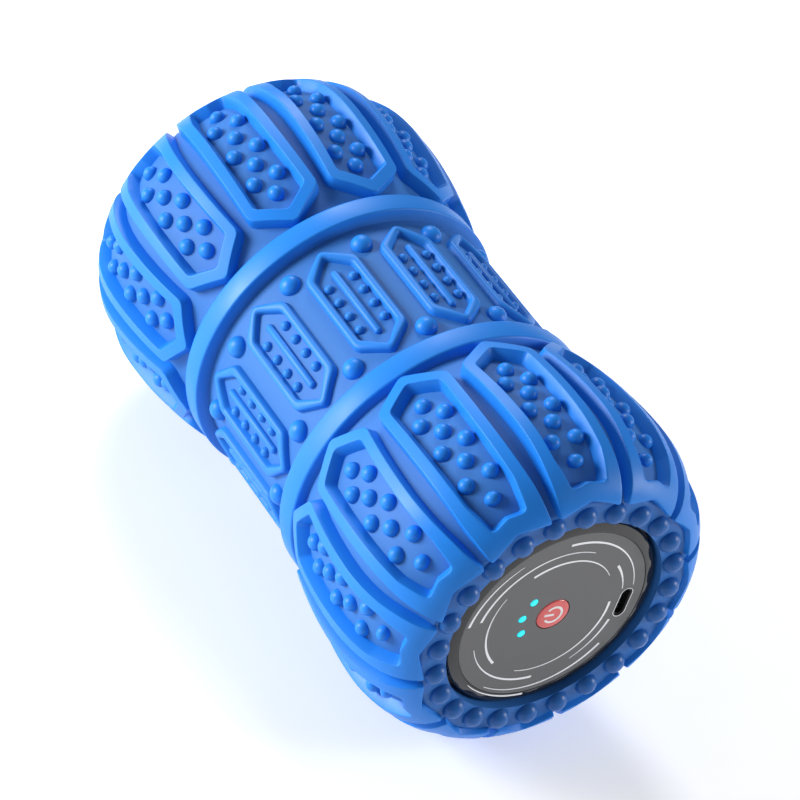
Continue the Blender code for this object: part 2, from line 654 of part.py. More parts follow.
def make_board():
    """Circuit board with the switch, the charging socket, a chip and its two screws."""
    board = block("control_board", (BOARD_BACK_X, BOARD_Y[0], -BOARD_HALF_WIDTH),
                  (BOARD_FRONT_X, BOARD_Y[1], BOARD_HALF_WIDTH), board_green)
    screw = screw_mesh("board_screw", 5 * MM)
    for number, place in enumerate(BOARD_SCREW_PLACES):
        cut(board, rod(f"board_hole_{number}", (BOARD_BACK_X - 1 * MM, BOARD_FRONT_X + 1 * MM),
                       SCREW_RADIUS + TOUCH, None, place, 12))
        piece = add_object(f"board_screw_{number + 1}", screw, screw_steel,
                           (BOARD_BACK_X - TOUCH, *place))
        piece.rotation_euler = (0, 0, 180 * DEG)
    seat = BOARD_FRONT_X + TOUCH
    half = SWITCH_SIZE / 2
    body = block("switch_body", (seat, -half, -half), (seat + SWITCH_HEIGHT, half, half),
                 switch_black)
    plunger_back = seat + 1.2 * MM
    well = rod("switch_well", (plunger_back - BUTTON_TRAVEL - TOUCH, seat + 2 * SWITCH_HEIGHT),
               PLUNGER_RADIUS + SLIDE, None, segments=16)
    cut(body, well)
    rod("switch_plunger", (plunger_back, switch_top()), PLUNGER_RADIUS, switch_black,
        segments=16)
    socket = port_piece("charge_socket", (seat, PLATE_BACK_X - 2 * TOUCH),
                        PORT_LENGTH - 2 * TOUCH, PORT_WIDTH, port_metal)
    cut(socket, port_piece("socket_mouth", (PLATE_BACK_X - SOCKET_DEPTH, END_FACE_X),
                           PORT_LENGTH - 2 * TOUCH - 2 * SOCKET_WALL,
                           PORT_WIDTH - 2 * SOCKET_WALL, None))
    block("controller_chip", (BOARD_BACK_X - TOUCH - 1.2 * MM, -4 * MM, -4 * MM),
          (BOARD_BACK_X - TOUCH, 4 * MM, 4 * MM), switch_black)


# ---- Chassis ----------------------------------------------------------------------------
def rib_stations():
    """Middle stations of the two ribs that hold the motor."""
    inset = MOUNT_INSET + RIB_THICKNESS / 2
    return MOTOR_X[0] + inset, MOTOR_X[1] - inset


def chassis_outline():
    """Section of the whole chassis: a tube with an end wall at each end and two motor ribs."""
    length = CHASSIS_HALF_LENGTH
    opening = CAP_SCREW_RING - CHASSIS_OPENING
    points = [(-length - CHASSIS_END_WALL, CHASSIS_RADIUS),
              (-length - CHASSIS_END_WALL, opening), (-length, opening),
              (-length, CHASSIS_INNER_RADIUS)]
    for station in rib_stations():
        low = station - RIB_THICKNESS / 2
        high = station + RIB_THICKNESS / 2
        points += [(low, CHASSIS_INNER_RADIUS), (low, RIB_INNER_RADIUS),
                   (high, RIB_INNER_RADIUS), (high, CHASSIS_INNER_RADIUS)]
    points += [(length, CHASSIS_INNER_RADIUS), (length, opening),
               (length + CHASSIS_END_WALL, opening), (length + CHASSIS_END_WALL, CHASSIS_RADIUS)]
    return points


def make_chassis():
    """Two half shells that clamp the motor and the battery, and the screws between them."""
    lug_y = CHASSIS_INNER_RADIUS + LUG_SINK - LUG_SIZE[1] / 2
    head_top = LUG_SIZE[2] + 2 * TOUCH + SCREW_HEAD_HEIGHT
    screw_y = math.sqrt((CHASSIS_INNER_RADIUS - TOUCH) ** 2 - head_top ** 2) - SCREW_HEAD_RADIUS
    lugs = [(x, side * lug_y, side * screw_y) for x in (-LUG_X, LUG_X) for side in (-1, 1)]
    reach = CORE_HALF_LENGTH
    for name, side in (("chassis_lower", -1), ("chassis_upper", 1)):
        shell = turned(name, chassis_outline(), chassis_grey)
        for number, (x, y, drill_y) in enumerate(lugs):
            low = (x - LUG_SIZE[0] / 2, y - LUG_SIZE[1] / 2, -LUG_SIZE[2])
            high = (x + LUG_SIZE[0] / 2, y + LUG_SIZE[1] / 2, LUG_SIZE[2])
            join(shell, block(f"{name}_lug_{number}", low, high, None))
            cut(shell, vertical_rod(f"{name}_drill_{number}", (x, drill_y)))
        for end in (-1, 1):
            inside = end * (CHASSIS_HALF_LENGTH - 2 * MM)
            for screw, angle in enumerate(CAP_SCREW_ANGLES):
                cut(shell, rod(f"{name}_pilot_{end}_{screw}", (inside, end * reach),
                               SCREW_RADIUS + TOUCH, None, polar(CAP_SCREW_RING, angle), 12))
        for y in (-WIRE_RUN[0], WIRE_RUN[0]):
            cut(shell, rod(f"{name}_wire_hole_{y:.3f}", (MOTOR_X[0], reach), WIRE_HOLE_RADIUS,
                           None, (y, side * WIRE_RUN[1]), 12))
        near, far = sorted((side * TOUCH / 2, -side * 2 * CORE_RADIUS))
        cut(shell, block(f"{name}_other_half", (-reach, -2 * CORE_RADIUS, near),
                         (reach, 2 * CORE_RADIUS, far), None))
    mesh = screw_mesh("chassis_screw", CHASSIS_SCREW_LENGTH)
    for number, (x, _, drill_y) in enumerate(lugs):
        screw = add_object(f"chassis_screw_{number + 1}", mesh, screw_steel,
                           (x, drill_y, LUG_SIZE[2] + TOUCH))
        screw.rotation_euler = (0, -90 * DEG, 0)


def vertical_rod(name, place):
    """Guide for a screw hole along Z through a pair of lugs."""
    length = 2 * (CHASSIS_SCREW_LENGTH - LUG_SIZE[2] + TOUCH)
    mesh = cylinder_mesh(name, length + 2 * LUG_SIZE[2], SCREW_RADIUS + TOUCH, 12)
    guide = add_object(name, mesh, None, (*place, 0))
    guide.rotation_euler = (0, 90 * DEG, 0)
    return guide


# ---- Motor ------------------------------------------------------------------------------
def make_motor():
    """Motor can, end bell, rubber mounts, shaft and the two eccentric weights."""
    hole = SHAFT_RADIUS + SLIDE
    back, front = MOTOR_X
    inner = MOTOR_RADIUS - MOTOR_WALL
    can_back = back + BELL_THICKNESS + TOUCH
    turned("motor_can", [(can_back, inner), (front - MOTOR_WALL, inner),
                         (front - MOTOR_WALL, hole), (front, hole), (front, MOTOR_RADIUS),
                         (can_back, MOTOR_RADIUS)], motor_steel, 24)
    turned("motor_end_bell", [(back, hole), (back + BELL_THICKNESS, hole),
                              (back + BELL_THICKNESS, MOTOR_RADIUS), (back, MOTOR_RADIUS)],
           bell_black, 24)
    rod("motor_shaft", (back - SHAFT_OVERHANG, front + SHAFT_OVERHANG), SHAFT_RADIUS,
        shaft_steel, segments=16)
    rod_length = front - can_back
    turned("motor_rotor", [(can_back + 0.15 * rod_length, hole),
                           (front - 0.2 * rod_length, hole),
                           (front - 0.2 * rod_length, 0.8 * inner),
                           (can_back + 0.15 * rod_length, 0.8 * inner)], rotor_copper, 24)
    for name, station in zip(("motor_mount_rear", "motor_mount_front"), rib_stations()):
        half = RIB_THICKNESS / 2
        turned(name, [(station - half, MOUNT_INNER_RADIUS), (station + half, MOUNT_INNER_RADIUS),
                      (station + half, MOUNT_OUTER_RADIUS), (station - half, MOUNT_OUTER_RADIUS)],
               mount_rubber, 24)
    weight_places = (("rear", back - WEIGHT_GAP - WEIGHT_THICKNESS),
                     ("front", front + WEIGHT_GAP))
    for name, start in weight_places:
        make_weight(name, start)


def make_weight(name, start):
    """Half-round weight clamped on the shaft by a set screw."""
    stop = start + WEIGHT_THICKNESS
    bore = SHAFT_RADIUS + TOUCH
    piece = turned(f"eccentric_weight_{name}",
                   [(start, bore), (stop, bore), (stop, WEIGHT_HUB_RADIUS),
                    (start, WEIGHT_HUB_RADIUS)], weight_brass, 24)
    sector = turned_mesh(f"weight_sector_{name}",
                         [(start, WEIGHT_HUB_RADIUS - 1 * MM), (stop, WEIGHT_HUB_RADIUS - 1 * MM),
                          (stop, WEIGHT_RADIUS), (start, WEIGHT_RADIUS)], 16,
                         190 * DEG, 160 * DEG)
    join(piece, add_object(f"weight_sector_{name}", sector, None))
    middle = (start + stop) / 2
    depth = WEIGHT_HUB_RADIUS - bore
    drill = cylinder_mesh(f"set_drill_{name}", 2 * depth + 2 * MM, SET_SCREW_RADIUS + TOUCH, 12)
    guide = add_object(f"set_drill_{name}", drill, None, (middle, 0, bore + depth))
    guide.rotation_euler = (0, 90 * DEG, 0)
    cut(piece, guide)
    mesh = cylinder_mesh(f"weight_set_screw_{name}", SET_SCREW_LENGTH, SET_SCREW_RADIUS, 12)
    screw = add_object(f"weight_set_screw_{name}", mesh, screw_steel,
                       (middle, 0, bore + TOUCH + SET_SCREW_LENGTH / 2))
    screw.rotation_euler = (0, 90 * DEG, 0)


# ---- Battery and wires ------------------------------------------------------------------
def cell_places():
    """(y, z) of the two battery cells."""
    offset = CELL_RADIUS + CELL_GAP / 2
    return (-offset, 0.0), (offset, 0.0)


def make_battery():
    """Two cells side by side, joined at the back by a strip, with a tab on each front."""
    front = CELL_BACK_X + CELL_LENGTH
    half = STRIP_WIDTH / 2
    for number, place in enumerate(cell_places()):
        rod(f"battery_cell_{number + 1}", (CELL_BACK_X, front), CELL_RADIUS, cell_green, place)
        x = front + TOUCH
        block(f"battery_tab_{number + 1}", (x, place[0] - half, place[1] - half),
              (x + STRIP_THICKNESS, place[0] + half, place[1] + half), strip_nickel)
    x = CELL_BACK_X - TOUCH
    reach = CELL_RADIUS + half
    block("battery_link", (x - STRIP_THICKNESS, -reach, -half), (x, reach, half), strip_nickel)
    height = math.sqrt((CHASSIS_INNER_RADIUS - 2 * TOUCH) ** 2 - PAD_HALF_WIDTH ** 2)
    number = 0
    for start in (CELL_BACK_X + PAD_INSET, front - PAD_INSET - PAD_THICKNESS):
        stop = start + PAD_THICKNESS
        for side in (-1, 1):
            number += 1
            z_range = sorted((side * height, side * 6 * MM))
            pad = block(f"cell_pad_{number}", (start, -PAD_HALF_WIDTH, z_range[0]),
                        (stop, PAD_HALF_WIDTH, z_range[1]), mount_rubber)
            for cell, place in enumerate(cell_places()):
                cut(pad, rod(f"pad_bed_{number}_{cell}", (start - MM, stop + MM),
                             CELL_RADIUS + TOUCH, None, place))


def wire(name, points, material):
    """Round wire along a smooth curve through its points."""
    knots = [Vector(point) for point in points]
    smooth = []
    padded = [knots[0] * 2 - knots[1], *knots, knots[-1] * 2 - knots[-2]]
    steps = 3
    for before, start, stop, after in zip(padded, padded[1:], padded[2:], padded[3:]):
        for step in range(steps):
            t = step / steps
            smooth.append(0.5 * (2 * start + (stop - before) * t
                                 + (2 * before - 5 * start + 4 * stop - after) * t ** 2
                                 + (3 * start - before - 3 * stop + after) * t ** 3))
    smooth.append(knots[-1])
    curve = bpy.data.curves.new(name, "CURVE")
    curve.dimensions = "3D"
    curve.bevel_depth = WIRE_RADIUS
    curve.bevel_resolution = 2
    curve.use_fill_caps = True
    spline = curve.splines.new("POLY")
    spline.points.add(len(smooth) - 1)
    for point, place in zip(spline.points, smooth):
        point.co = (*place, 1.0)
    add_object(name, curve, material)


def make_wires():
    """Battery leads and motor leads, each from its terminal to the circuit board."""
    tab_x = CELL_BACK_X + CELL_LENGTH + 2 * TOUCH + STRIP_THICKNESS + WIRE_RADIUS
    board_x = BOARD_BACK_X - 2 * TOUCH
    bell_x = MOTOR_X[0] - WIRE_RADIUS - TOUCH
    run_y, run_z = WIRE_RUN
    pad = 8 * MM
    for colour, side, material in (("red", 1, wire_red), ("black", -1, wire_black)):
        y = side * run_y
        run = [(MOTOR_X[0] + 4 * MM, y, run_z), (MOTOR_X[0] + 20 * MM, y, run_z),
               (MOTOR_X[1] + 4 * MM, y, run_z), (CHASSIS_HALF_LENGTH - 2 * MM, y, run_z),
               (CHASSIS_HALF_LENGTH + 3 * MM, y, run_z - MM),
               (board_x - 4 * MM, side * (pad + MM), pad + 6 * MM),
               (board_x - 2 * MM, side * pad, pad + MM), (board_x, side * pad, pad)]
        lower = [(x, y, -z) for x, y, z in run]
        wire(f"battery_wire_{colour}", [(tab_x, y, MM), (tab_x, y, 8 * MM),
                                        (tab_x + 2 * MM, y, 15 * MM),
                                        (tab_x + 8 * MM, y, run_z), *run], material)
        wire(f"motor_wire_{colour}", [(bell_x, side * pad, -pad), (bell_x, y, -run_z + 5 * MM),
                                      (bell_x + MM, y, -run_z + MM), *lower], material)


# ---- Build ------------------------------------------------------------------------------
clear_scene()
sleeve_blue = make_material("sleeve_blue", (0.05, 0.22, 0.72), 0.5)
core_black = make_material("core_black", (0.03, 0.03, 0.035), 0.5)
cap_black = make_material("cap_black", (0.02, 0.02, 0.025), 0.4)
plate_grey = make_material("plate_grey", (0.14, 0.14, 0.14), 0.45)
bezel_black = make_material("bezel_black", (0.01, 0.01, 0.01), 0.12)
gasket_rubber = make_material("gasket_rubber", (0.02, 0.02, 0.02), 0.8)
button_red = make_material("button_red", (0.7, 0.09, 0.08), 0.3)
lens_cyan = make_material("lens_cyan", (0.0, 0.75, 0.8), 0.25)
port_metal = make_material("port_metal", (0.6, 0.6, 0.62), 0.35, 1.0)
board_green = make_material("board_green", (0.02, 0.2, 0.08), 0.4)
chip_white = make_material("chip_white", (0.8, 0.8, 0.75), 0.4)
switch_black = make_material("switch_black", (0.03, 0.03, 0.03), 0.4)
screw_steel = make_material("screw_steel", (0.5, 0.5, 0.52), 0.35, 1.0)
chassis_grey = make_material("chassis_grey", (0.25, 0.25, 0.27), 0.55)
motor_steel = make_material("motor_steel", (0.55, 0.56, 0.58), 0.3, 1.0)
bell_black = make_material("bell_black", (0.04, 0.04, 0.04), 0.5)
shaft_steel = make_material("shaft_steel", (0.65, 0.65, 0.67), 0.2, 1.0)
rotor_copper = make_material("rotor_copper", (0.6, 0.3, 0.15), 0.35, 1.0)
weight_brass = make_material("weight_brass", (0.6, 0.45, 0.2), 0.35, 1.0)
mount_rubber = make_material("mount_rubber", (0.03, 0.03, 0.03), 0.85)
cell_green = make_material("cell_green", (0.05, 0.3, 0.25), 0.4)
strip_nickel = make_material("strip_nickel", (0.6, 0.58, 0.52), 0.35, 1.0)
wire_red = make_material("wire_red", (0.5, 0.02, 0.02), 0.5)
wire_black = make_material("wire_black", (0.02, 0.02, 0.02), 0.5)

roller_axis = bpy.data.objects.new("roller_axis", None)
bpy.context.scene.collection.objects.link(roller_axis)
roller_axis.location.z = make_sleeve()
make_core()
make_control_end()
make_rear_end()
make_button()
make_board()
make_chassis()
make_motor()
make_battery()
make_wires()
print("axis height in mm", round(roller_axis.location.z / MM, 4))
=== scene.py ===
# %% [markdown]
# # A vibrating foam roller, piece by piece
# The roller is a blue rubber tread moulded over a rigid tube, with a grey control plate in one
# end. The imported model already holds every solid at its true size, so it is loaded first and kept
# as the frame. Each visible piece is then remade with rounded edges, domes and prints, in place.

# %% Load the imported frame
import json
import math

import bmesh
import bpy
import numpy as np
from mathutils import Matrix, Vector


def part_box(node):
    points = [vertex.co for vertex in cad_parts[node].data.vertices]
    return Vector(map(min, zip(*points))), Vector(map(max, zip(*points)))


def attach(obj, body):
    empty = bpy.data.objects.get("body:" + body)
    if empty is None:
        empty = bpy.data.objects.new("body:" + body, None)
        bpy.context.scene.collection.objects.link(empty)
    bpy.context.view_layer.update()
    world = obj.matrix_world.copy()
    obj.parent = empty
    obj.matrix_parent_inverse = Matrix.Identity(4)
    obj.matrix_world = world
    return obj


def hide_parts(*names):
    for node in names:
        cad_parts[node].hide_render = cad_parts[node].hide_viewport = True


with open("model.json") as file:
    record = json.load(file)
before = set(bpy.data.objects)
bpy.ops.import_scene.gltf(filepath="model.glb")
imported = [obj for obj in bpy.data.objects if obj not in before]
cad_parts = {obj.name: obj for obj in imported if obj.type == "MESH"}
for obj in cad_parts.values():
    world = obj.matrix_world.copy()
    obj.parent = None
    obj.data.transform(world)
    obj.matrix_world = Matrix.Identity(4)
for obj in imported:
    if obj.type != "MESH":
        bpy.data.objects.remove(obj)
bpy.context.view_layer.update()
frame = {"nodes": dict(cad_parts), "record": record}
MM = 0.001
DEG = math.pi / 180
plate_low, plate_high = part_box("face_plate")
AXIS_Z = (plate_low[2] + plate_high[2]) / 2
FACE_X = plate_high[0]
AXIS = Vector((0, 0, AXIS_Z))
print("nodes", len(frame["nodes"]), "axis height in mm", round(AXIS_Z / MM, 3))

# %% [markdown]
# ## Working habits
# An operator acts on whatever is selected, so every step starts with a clean selection. In edit
# mode the vertices, edges or faces are picked by where they are, as a hand and an eye would do.

# %% Selecting, editing and finishing
def only(piece):
    """Select one object and make it the active one."""
    bpy.ops.object.select_all(action="DESELECT")
    piece.select_set(True)
    bpy.context.view_layer.objects.active = piece
    return piece


def edit(piece):
    """Open a piece in edit mode with everything selected."""
    only(piece)
    bpy.ops.object.mode_set(mode="EDIT")
    bpy.ops.mesh.select_mode(type="VERT")
    bpy.ops.mesh.select_all(action="SELECT")


def done():
    """Leave edit mode."""
    bpy.ops.object.mode_set(mode="OBJECT")


def pick(piece, kind, test):
    """In edit mode, select the vertices or edges for which test(item) is true."""
    bpy.ops.mesh.select_mode(type=kind)
    bpy.ops.mesh.select_all(action="DESELECT")
    grid = bmesh.from_edit_mesh(piece.data)
    items = {"VERT": grid.verts, "EDGE": grid.edges}[kind]
    for item in items:
        if test(item):
            item.select_set(True)
    grid.select_flush_mode()
    bmesh.update_edit_mesh(piece.data)


def place_in_mesh(piece):
    """Put an object's place, turn and size into its mesh."""
    only(piece)
    bpy.ops.object.transform_apply(location=True, rotation=True, scale=True)
    return piece


def outward(piece):
    """Merge doubles and turn the faces outwards."""
    edit(piece)
    bpy.ops.mesh.remove_doubles(threshold=0.002 * MM)
    bpy.ops.mesh.select_all(action="SELECT")
    bpy.ops.mesh.normals_make_consistent(inside=False)
    done()
    return piece


def smooth(piece, angle=32):
    """Smooth shading that keeps the sharp edges."""
    only(piece)
    bpy.ops.object.shade_smooth_by_angle(angle=angle * DEG)
    return piece


def joined(name, pieces):
    """Join several objects into one."""
    only(pieces[0])
    for piece in pieces:
        piece.select_set(True)
    if len(pieces) > 1:
        bpy.ops.object.join()
    piece = bpy.context.view_layer.objects.active
    piece.name = name
    piece.data.name = name
    return piece


# Levels of the 'raised' mask: the lower a part's level, the more painted shade and reflection its
# blue is given.
ON_TOP, ON_FRAME, ON_FLOOR, ON_RING, ON_STUD = 1.0, 0.8, 0.0, -0.35, -0.8


def mark(piece, value):
    """Write the 'raised' mask: high on what stands up, 0 on the floors, below 0 on the end rings
    and studs; lower values paint darker shade blues.
    """
    layer = piece.data.attributes.new("raised", "FLOAT", "POINT")
    layer.data.foreach_set("value", [value] * len(piece.data.vertices))
    return piece


def copied(piece, name):
    """A copy with its own mesh."""
    only(piece)
    bpy.ops.object.duplicate()
    twin = bpy.context.view_layer.objects.active
    twin.name = name
    return twin


def turned_copies(piece, name, count):
    """The piece and its copies, evenly spaced round the roller's axis."""
    ring = [piece]
    for number in range(1, count):
        twin = copied(piece, f"{name}_{number}")
        bpy.ops.transform.rotate(value=number * 360 * DEG / count, orient_axis="X",
                                 center_override=AXIS)
        ring.append(place_in_mesh(twin))
    return ring


# %% [markdown]
# ## The rubber's surface
# A mould maker draws the tread flat and then lays it on the crowned surface. The same is done
# here: each tile is modelled flat, with u along the roller, v across the tile and z above the
# tread, and wrapped on the crown. The crown is a shallow arc on the waist side and a quarter
# ellipse at the end.

# %% Crown sizes and the wrap
PITCHES = 12
NEAR_TURN = 4.6 * DEG
FAR_TURN = 0.0 * DEG
END_X = 99.2 * MM
BORE = 36.3 * MM
CROWN_X = 71.8 * MM
CROWN_RADIUS = 58.6 * MM
CROWN_ARC = 120.0 * MM
SHOULDER = 29.4 * MM
DROP = 16.4 * MM
RIM = 3.8 * MM
WAIST_RADIUS = 48.1 * MM


def flat_place(x):
    """Where a station on the roller lies on the flat tile."""
    if x <= CROWN_X:
        return x
    return CROWN_X + SHOULDER * math.asin((x - CROWN_X) / SHOULDER)


def crown(u):
    """Station, radius and outward normal of the tread's top at flat places u."""
    run = np.minimum(u - CROWN_X, 0)
    fall = np.sqrt(CROWN_ARC ** 2 - run ** 2)
    turn = np.clip((u - CROWN_X) / SHOULDER, 0, math.pi / 2)
    ahead = u > CROWN_X
    x = np.where(ahead, CROWN_X + SHOULDER * np.sin(turn), u)
    radius = np.where(ahead, CROWN_RADIUS - DROP * (1 - np.cos(turn)),
                      CROWN_RADIUS - CROWN_ARC + fall)
    nx = np.where(ahead, np.sin(turn) / SHOULDER, run / CROWN_ARC)
    nr = np.where(ahead, np.cos(turn) / DROP, fall / CROWN_ARC)
    size = np.hypot(nx, nr)
    return x, radius, nx / size, nr / size


def waist(u):
    """The same for the plain waist."""
    return u, np.full_like(u, WAIST_RADIUS), np.zeros_like(u), np.ones_like(u)


def wrap(piece, surface, turn, side=1):
    """Lay a flat tile on the roller, on the control side (1) or mirrored to the far side (-1)."""
    place_in_mesh(piece)
    flat = np.empty(3 * len(piece.data.vertices))
    piece.data.vertices.foreach_get("co", flat)
    u, v, height = flat.reshape(-1, 3).T
    x, radius, nx, nr = surface(u)
    angle = turn + np.arcsin(np.clip(v / radius, -0.99, 0.99))
    reach = radius + height * nr
    round_places = np.stack([side * (x + height * nx), reach * np.cos(angle),
                             AXIS_Z + reach * np.sin(angle)], axis=1)
    piece.data.vertices.foreach_set("co", round_places.ravel())
    piece.data.update()
    return outward(piece)


# %% [markdown]
# ## A tread block
# Each block is a raised rim round a sunk panel. Its two outlines are traced corner by corner,
# their corners are rounded, the space between is bridged, and the strip is lifted with a draft.
# A moulded part needs that slope to leave its mould. The panel's floor is the tread's own floor.

# %% Tracing an outline
def trace(name, corners, closed=True):
    """Extrude one vertex from corner to corner."""
    bpy.ops.object.select_all(action="DESELECT")
    bpy.ops.mesh.primitive_plane_add(size=MM, location=(0, 0, 0))
    piece = bpy.context.object
    piece.name = name
    edit(piece)
    bpy.ops.mesh.merge(type="CENTER")
    points = [Vector((*corner, 0.0)[:3]) for corner in corners]
    bpy.ops.transform.translate(value=points[0])
    for before, after in zip(points, points[1:]):
        bpy.ops.mesh.extrude_vertices_move(TRANSFORM_OT_translate={"value": after - before})
    if closed:
        pick(piece, "VERT", lambda vert: len(vert.link_edges) == 1)
        bpy.ops.mesh.edge_face_add()
    done()
    return piece


def round_corners(piece, radius, near=None, steps=3):
    """Round the outline's corners, or only those that near(place) picks."""
    edit(piece)
    pick(piece, "VERT", lambda vert: near is None or near(vert.co))
    bpy.ops.mesh.bevel(offset=radius, segments=steps, affect="VERTICES")
    done()


def cut_long_edges(piece, longer_than, cuts, shorter_than=1.0):
    """Add points along the edges, so that the tile can bend."""
    edit(piece)
    pick(piece, "EDGE", lambda edge: longer_than < edge.calc_length() < shorter_than)
    bpy.ops.mesh.subdivide(number_cuts=cuts)
    done()


def both_sides(half):
    """A whole outline from its right half, which starts and ends on the centre line."""
    return half + [(u, -v) for u, v in reversed(half[1:-1])]


def grown(half, amount):
    """The half outline moved outwards, or inwards for a negative amount."""
    middle = sum(u for u, v in half) / len(half)
    result = []
    for u, v in half:
        along = amount if u > middle else -amount
        result.append((u + along, v + amount if v > 0 else v))
    return result


# %% A rim between two outlines
BURIED = 1.0 * MM
LONG_SIDE = 20 * MM
SHORT_SIDE = 3.6 * MM
NOTCH_ROUNDING = 0.5 * MM
SHARPER = 1.35


def rim(name, outer, inner, corner_radii, cuts, across, height, draft, edge, end=1.0):
    """A raised rim: traced at its foot, bridged, extruded up from below the floor and inset.

    The corners beyond the flat place end are sharper, so their rounding starts further out.
    """
    loops = []
    for label, half, grow, radius in (("outer", outer, draft, corner_radii[0]),
                                      ("inner", inner, -draft, corner_radii[1])):
        loop = trace(f"{name}_{label}", both_sides(grown(half, grow)))
        round_corners(loop, SHARPER * radius,
                      lambda place: place.x > end and abs(place.y) > MM)
        round_corners(loop, NOTCH_ROUNDING,
                      lambda place: place.x > end and abs(place.y) < 0.01 * MM)
        last_corner = max(u for u, v in half if u < end) + 0.9 * radius + draft
        round_corners(loop, radius, lambda place: place.x < last_corner)
        cut_long_edges(loop, LONG_SIDE, cuts[0])
        cut_long_edges(loop, SHORT_SIDE, cuts[1], LONG_SIDE)
        loops.append(loop)
    piece = joined(name, loops)
    edit(piece)
    bpy.ops.mesh.bridge_edge_loops(number_cuts=across, interpolation="LINEAR")
    bpy.ops.mesh.select_all(action="SELECT")
    bpy.ops.transform.translate(value=(0, 0, -height - BURIED))
    bpy.ops.mesh.extrude_region_move(TRANSFORM_OT_translate={"value": (0, 0, BURIED)})
    bpy.ops.mesh.select_mode(type="FACE")
    bpy.ops.mesh.inset(thickness=draft, depth=0, use_boundary=True, use_even_offset=True)
    bpy.ops.transform.translate(value=(0, 0, height))
    bpy.ops.mesh.region_to_loop()
    bpy.ops.mesh.bevel(offset=edge, segments=3, affect="EDGES", clamp_overlap=True)
    done()
    outward(piece)
    print(name, "faces", len(piece.data.polygons))
    return piece


# %% The block's rim
BLOCK = [(35.2 * MM, 0), (44.0 * MM, 12.1 * MM), (flat_place(92.0 * MM), 11.6 * MM),
         (114.8 * MM, 9.9 * MM), (109.6 * MM, 0)]
PANEL = [(40.0 * MM, 0), (45.2 * MM, 9.0 * MM), (flat_place(89.0 * MM), 8.1 * MM),
         (flat_place(97.2 * MM), 6.0 * MM), (flat_place(96.4 * MM), 0)]
block_rim = rim("block_rim", BLOCK, PANEL, corner_radii=(2.0 * MM, 0.7 * MM), cuts=(18, 3),
                across=3, height=RIM, draft=1.1 * MM, edge=0.35 * MM, end=flat_place(90.0 * MM))

# %% [markdown]
# ## Panel domes
# Ten low domes press on the muscle in each panel. One is made from a sphere that is cut off below
# the floor and squashed a little, and the rest are copies of it.

# %% One dome and its copies
def dome(name, radius, height, sides=16):
    """A dome that stands on z = 0, closed a little below it."""
    bpy.ops.object.select_all(action="DESELECT")
    bpy.ops.mesh.primitive_uv_sphere_add(segments=sides, ring_count=sides // 2 + 2, radius=radius)
    piece = bpy.context.object
    piece.name = name
    edit(piece)
    bpy.ops.transform.resize(value=(1, 1, height / radius))
    bpy.ops.mesh.bisect(plane_co=(0, 0, -0.12 * height), plane_no=(0, 0, 1), clear_inner=True,
                        use_fill=True)
    done()
    return piece


def scattered(model, name, places):
    """Copies of a small piece at flat places (u, v), its foot at a height."""
    copies = []
    for number, place in enumerate(places):
        twin = copied(model, f"{name}_{number}")
        bpy.ops.transform.translate(value=place)
        copies.append(place_in_mesh(twin))
    return copies


panel_dome = dome("panel_dome", 2.75 * MM, 2.5 * MM)
dome_places = [(flat_place(x * MM), 0, -RIM) for x in (48.3, 61.2, 74.8, 89.8)]
dome_places += [(flat_place(x * MM), side * 4.35 * MM, -RIM)
                for x in (54.8, 67.9, 82.0) for side in (-1, 1)]
domes = scattered(panel_dome, "panel_dome", dome_places)
tread_block = joined("tread_block", [block_rim] + domes)
mark(tread_block, ON_TOP)
print("block vertices", len(tread_block.data.vertices))

# %% Twelve blocks on each bulge
far_block = wrap(copied(tread_block, "far_block"), crown, FAR_TURN, -1)
near_block = wrap(tread_block, crown, NEAR_TURN)
blocks = turned_copies(near_block, "near_block", PITCHES)
blocks += turned_copies(far_block, "far_block", PITCHES)
print("blocks", len(blocks))

# %% [markdown]
# ## Waist frames
# Twelve six-sided frames ring the waist. Each is a rounded rim with a long bar and eight small
# knobs inside. It is made as a block is, with rounder edges, and laid on a plain cylinder.

# %% Frame, bar and knobs
FRAME_HEIGHT = 2.2 * MM
FRAME = [(-23.0 * MM, 0), (-15.4 * MM, 8.5 * MM), (15.4 * MM, 8.5 * MM), (23.0 * MM, 0)]
FRAME_INSIDE = [(-20.3 * MM, 0), (-13.9 * MM, 6.4 * MM), (13.9 * MM, 6.4 * MM), (20.3 * MM, 0)]
frame_rim = rim("frame_rim", FRAME, FRAME_INSIDE, corner_radii=(1.6 * MM, 0.8 * MM), cuts=(8, 2),
                across=1, height=FRAME_HEIGHT, draft=0.5 * MM, edge=0.9 * MM)
edit(frame_rim)
bpy.ops.transform.translate(value=(0, 0, FRAME_HEIGHT))
done()

BAR_RADIUS = 1.25 * MM
BAR_HALF = 13.2 * MM
BAR_LIFT = 0.35 * MM
bpy.ops.object.select_all(action="DESELECT")
bpy.ops.mesh.primitive_uv_sphere_add(segments=16, ring_count=12, radius=BAR_RADIUS)
waist_bar = bpy.context.object
waist_bar.name = "waist_bar"
edit(waist_bar)
bpy.ops.transform.rotate(value=90 * DEG, orient_axis="Y", center_override=(0, 0, 0))
for side in (-1, 1):
    pick(waist_bar, "VERT", lambda vert: side * vert.co.x > 0.01 * MM)
    bpy.ops.transform.translate(value=(side * BAR_HALF, 0, 0))
pick(waist_bar, "VERT", lambda vert: True)
bpy.ops.transform.translate(value=(0, 0, BAR_LIFT))
done()
knob = dome("waist_knob", 1.6 * MM, 1.7 * MM, 12)
knobs = scattered(knob, "waist_knob", [(x * MM, side * 4.2 * MM, 0)
                                       for x in (-9.5, -3.2, 3.2, 9.5) for side in (-1, 1)])
waist_frame = joined("waist_frame", [frame_rim, waist_bar] + knobs)
# The frames stand a little below the top level, so a little painted floor shade mixes into their
# blue.
mark(waist_frame, ON_FRAME)
wrap(waist_frame, waist, FAR_TURN)
frames = turned_copies(waist_frame, "waist_frame", PITCHES)
print("frames", len(frames), "vertices each", len(waist_frame.data.vertices))

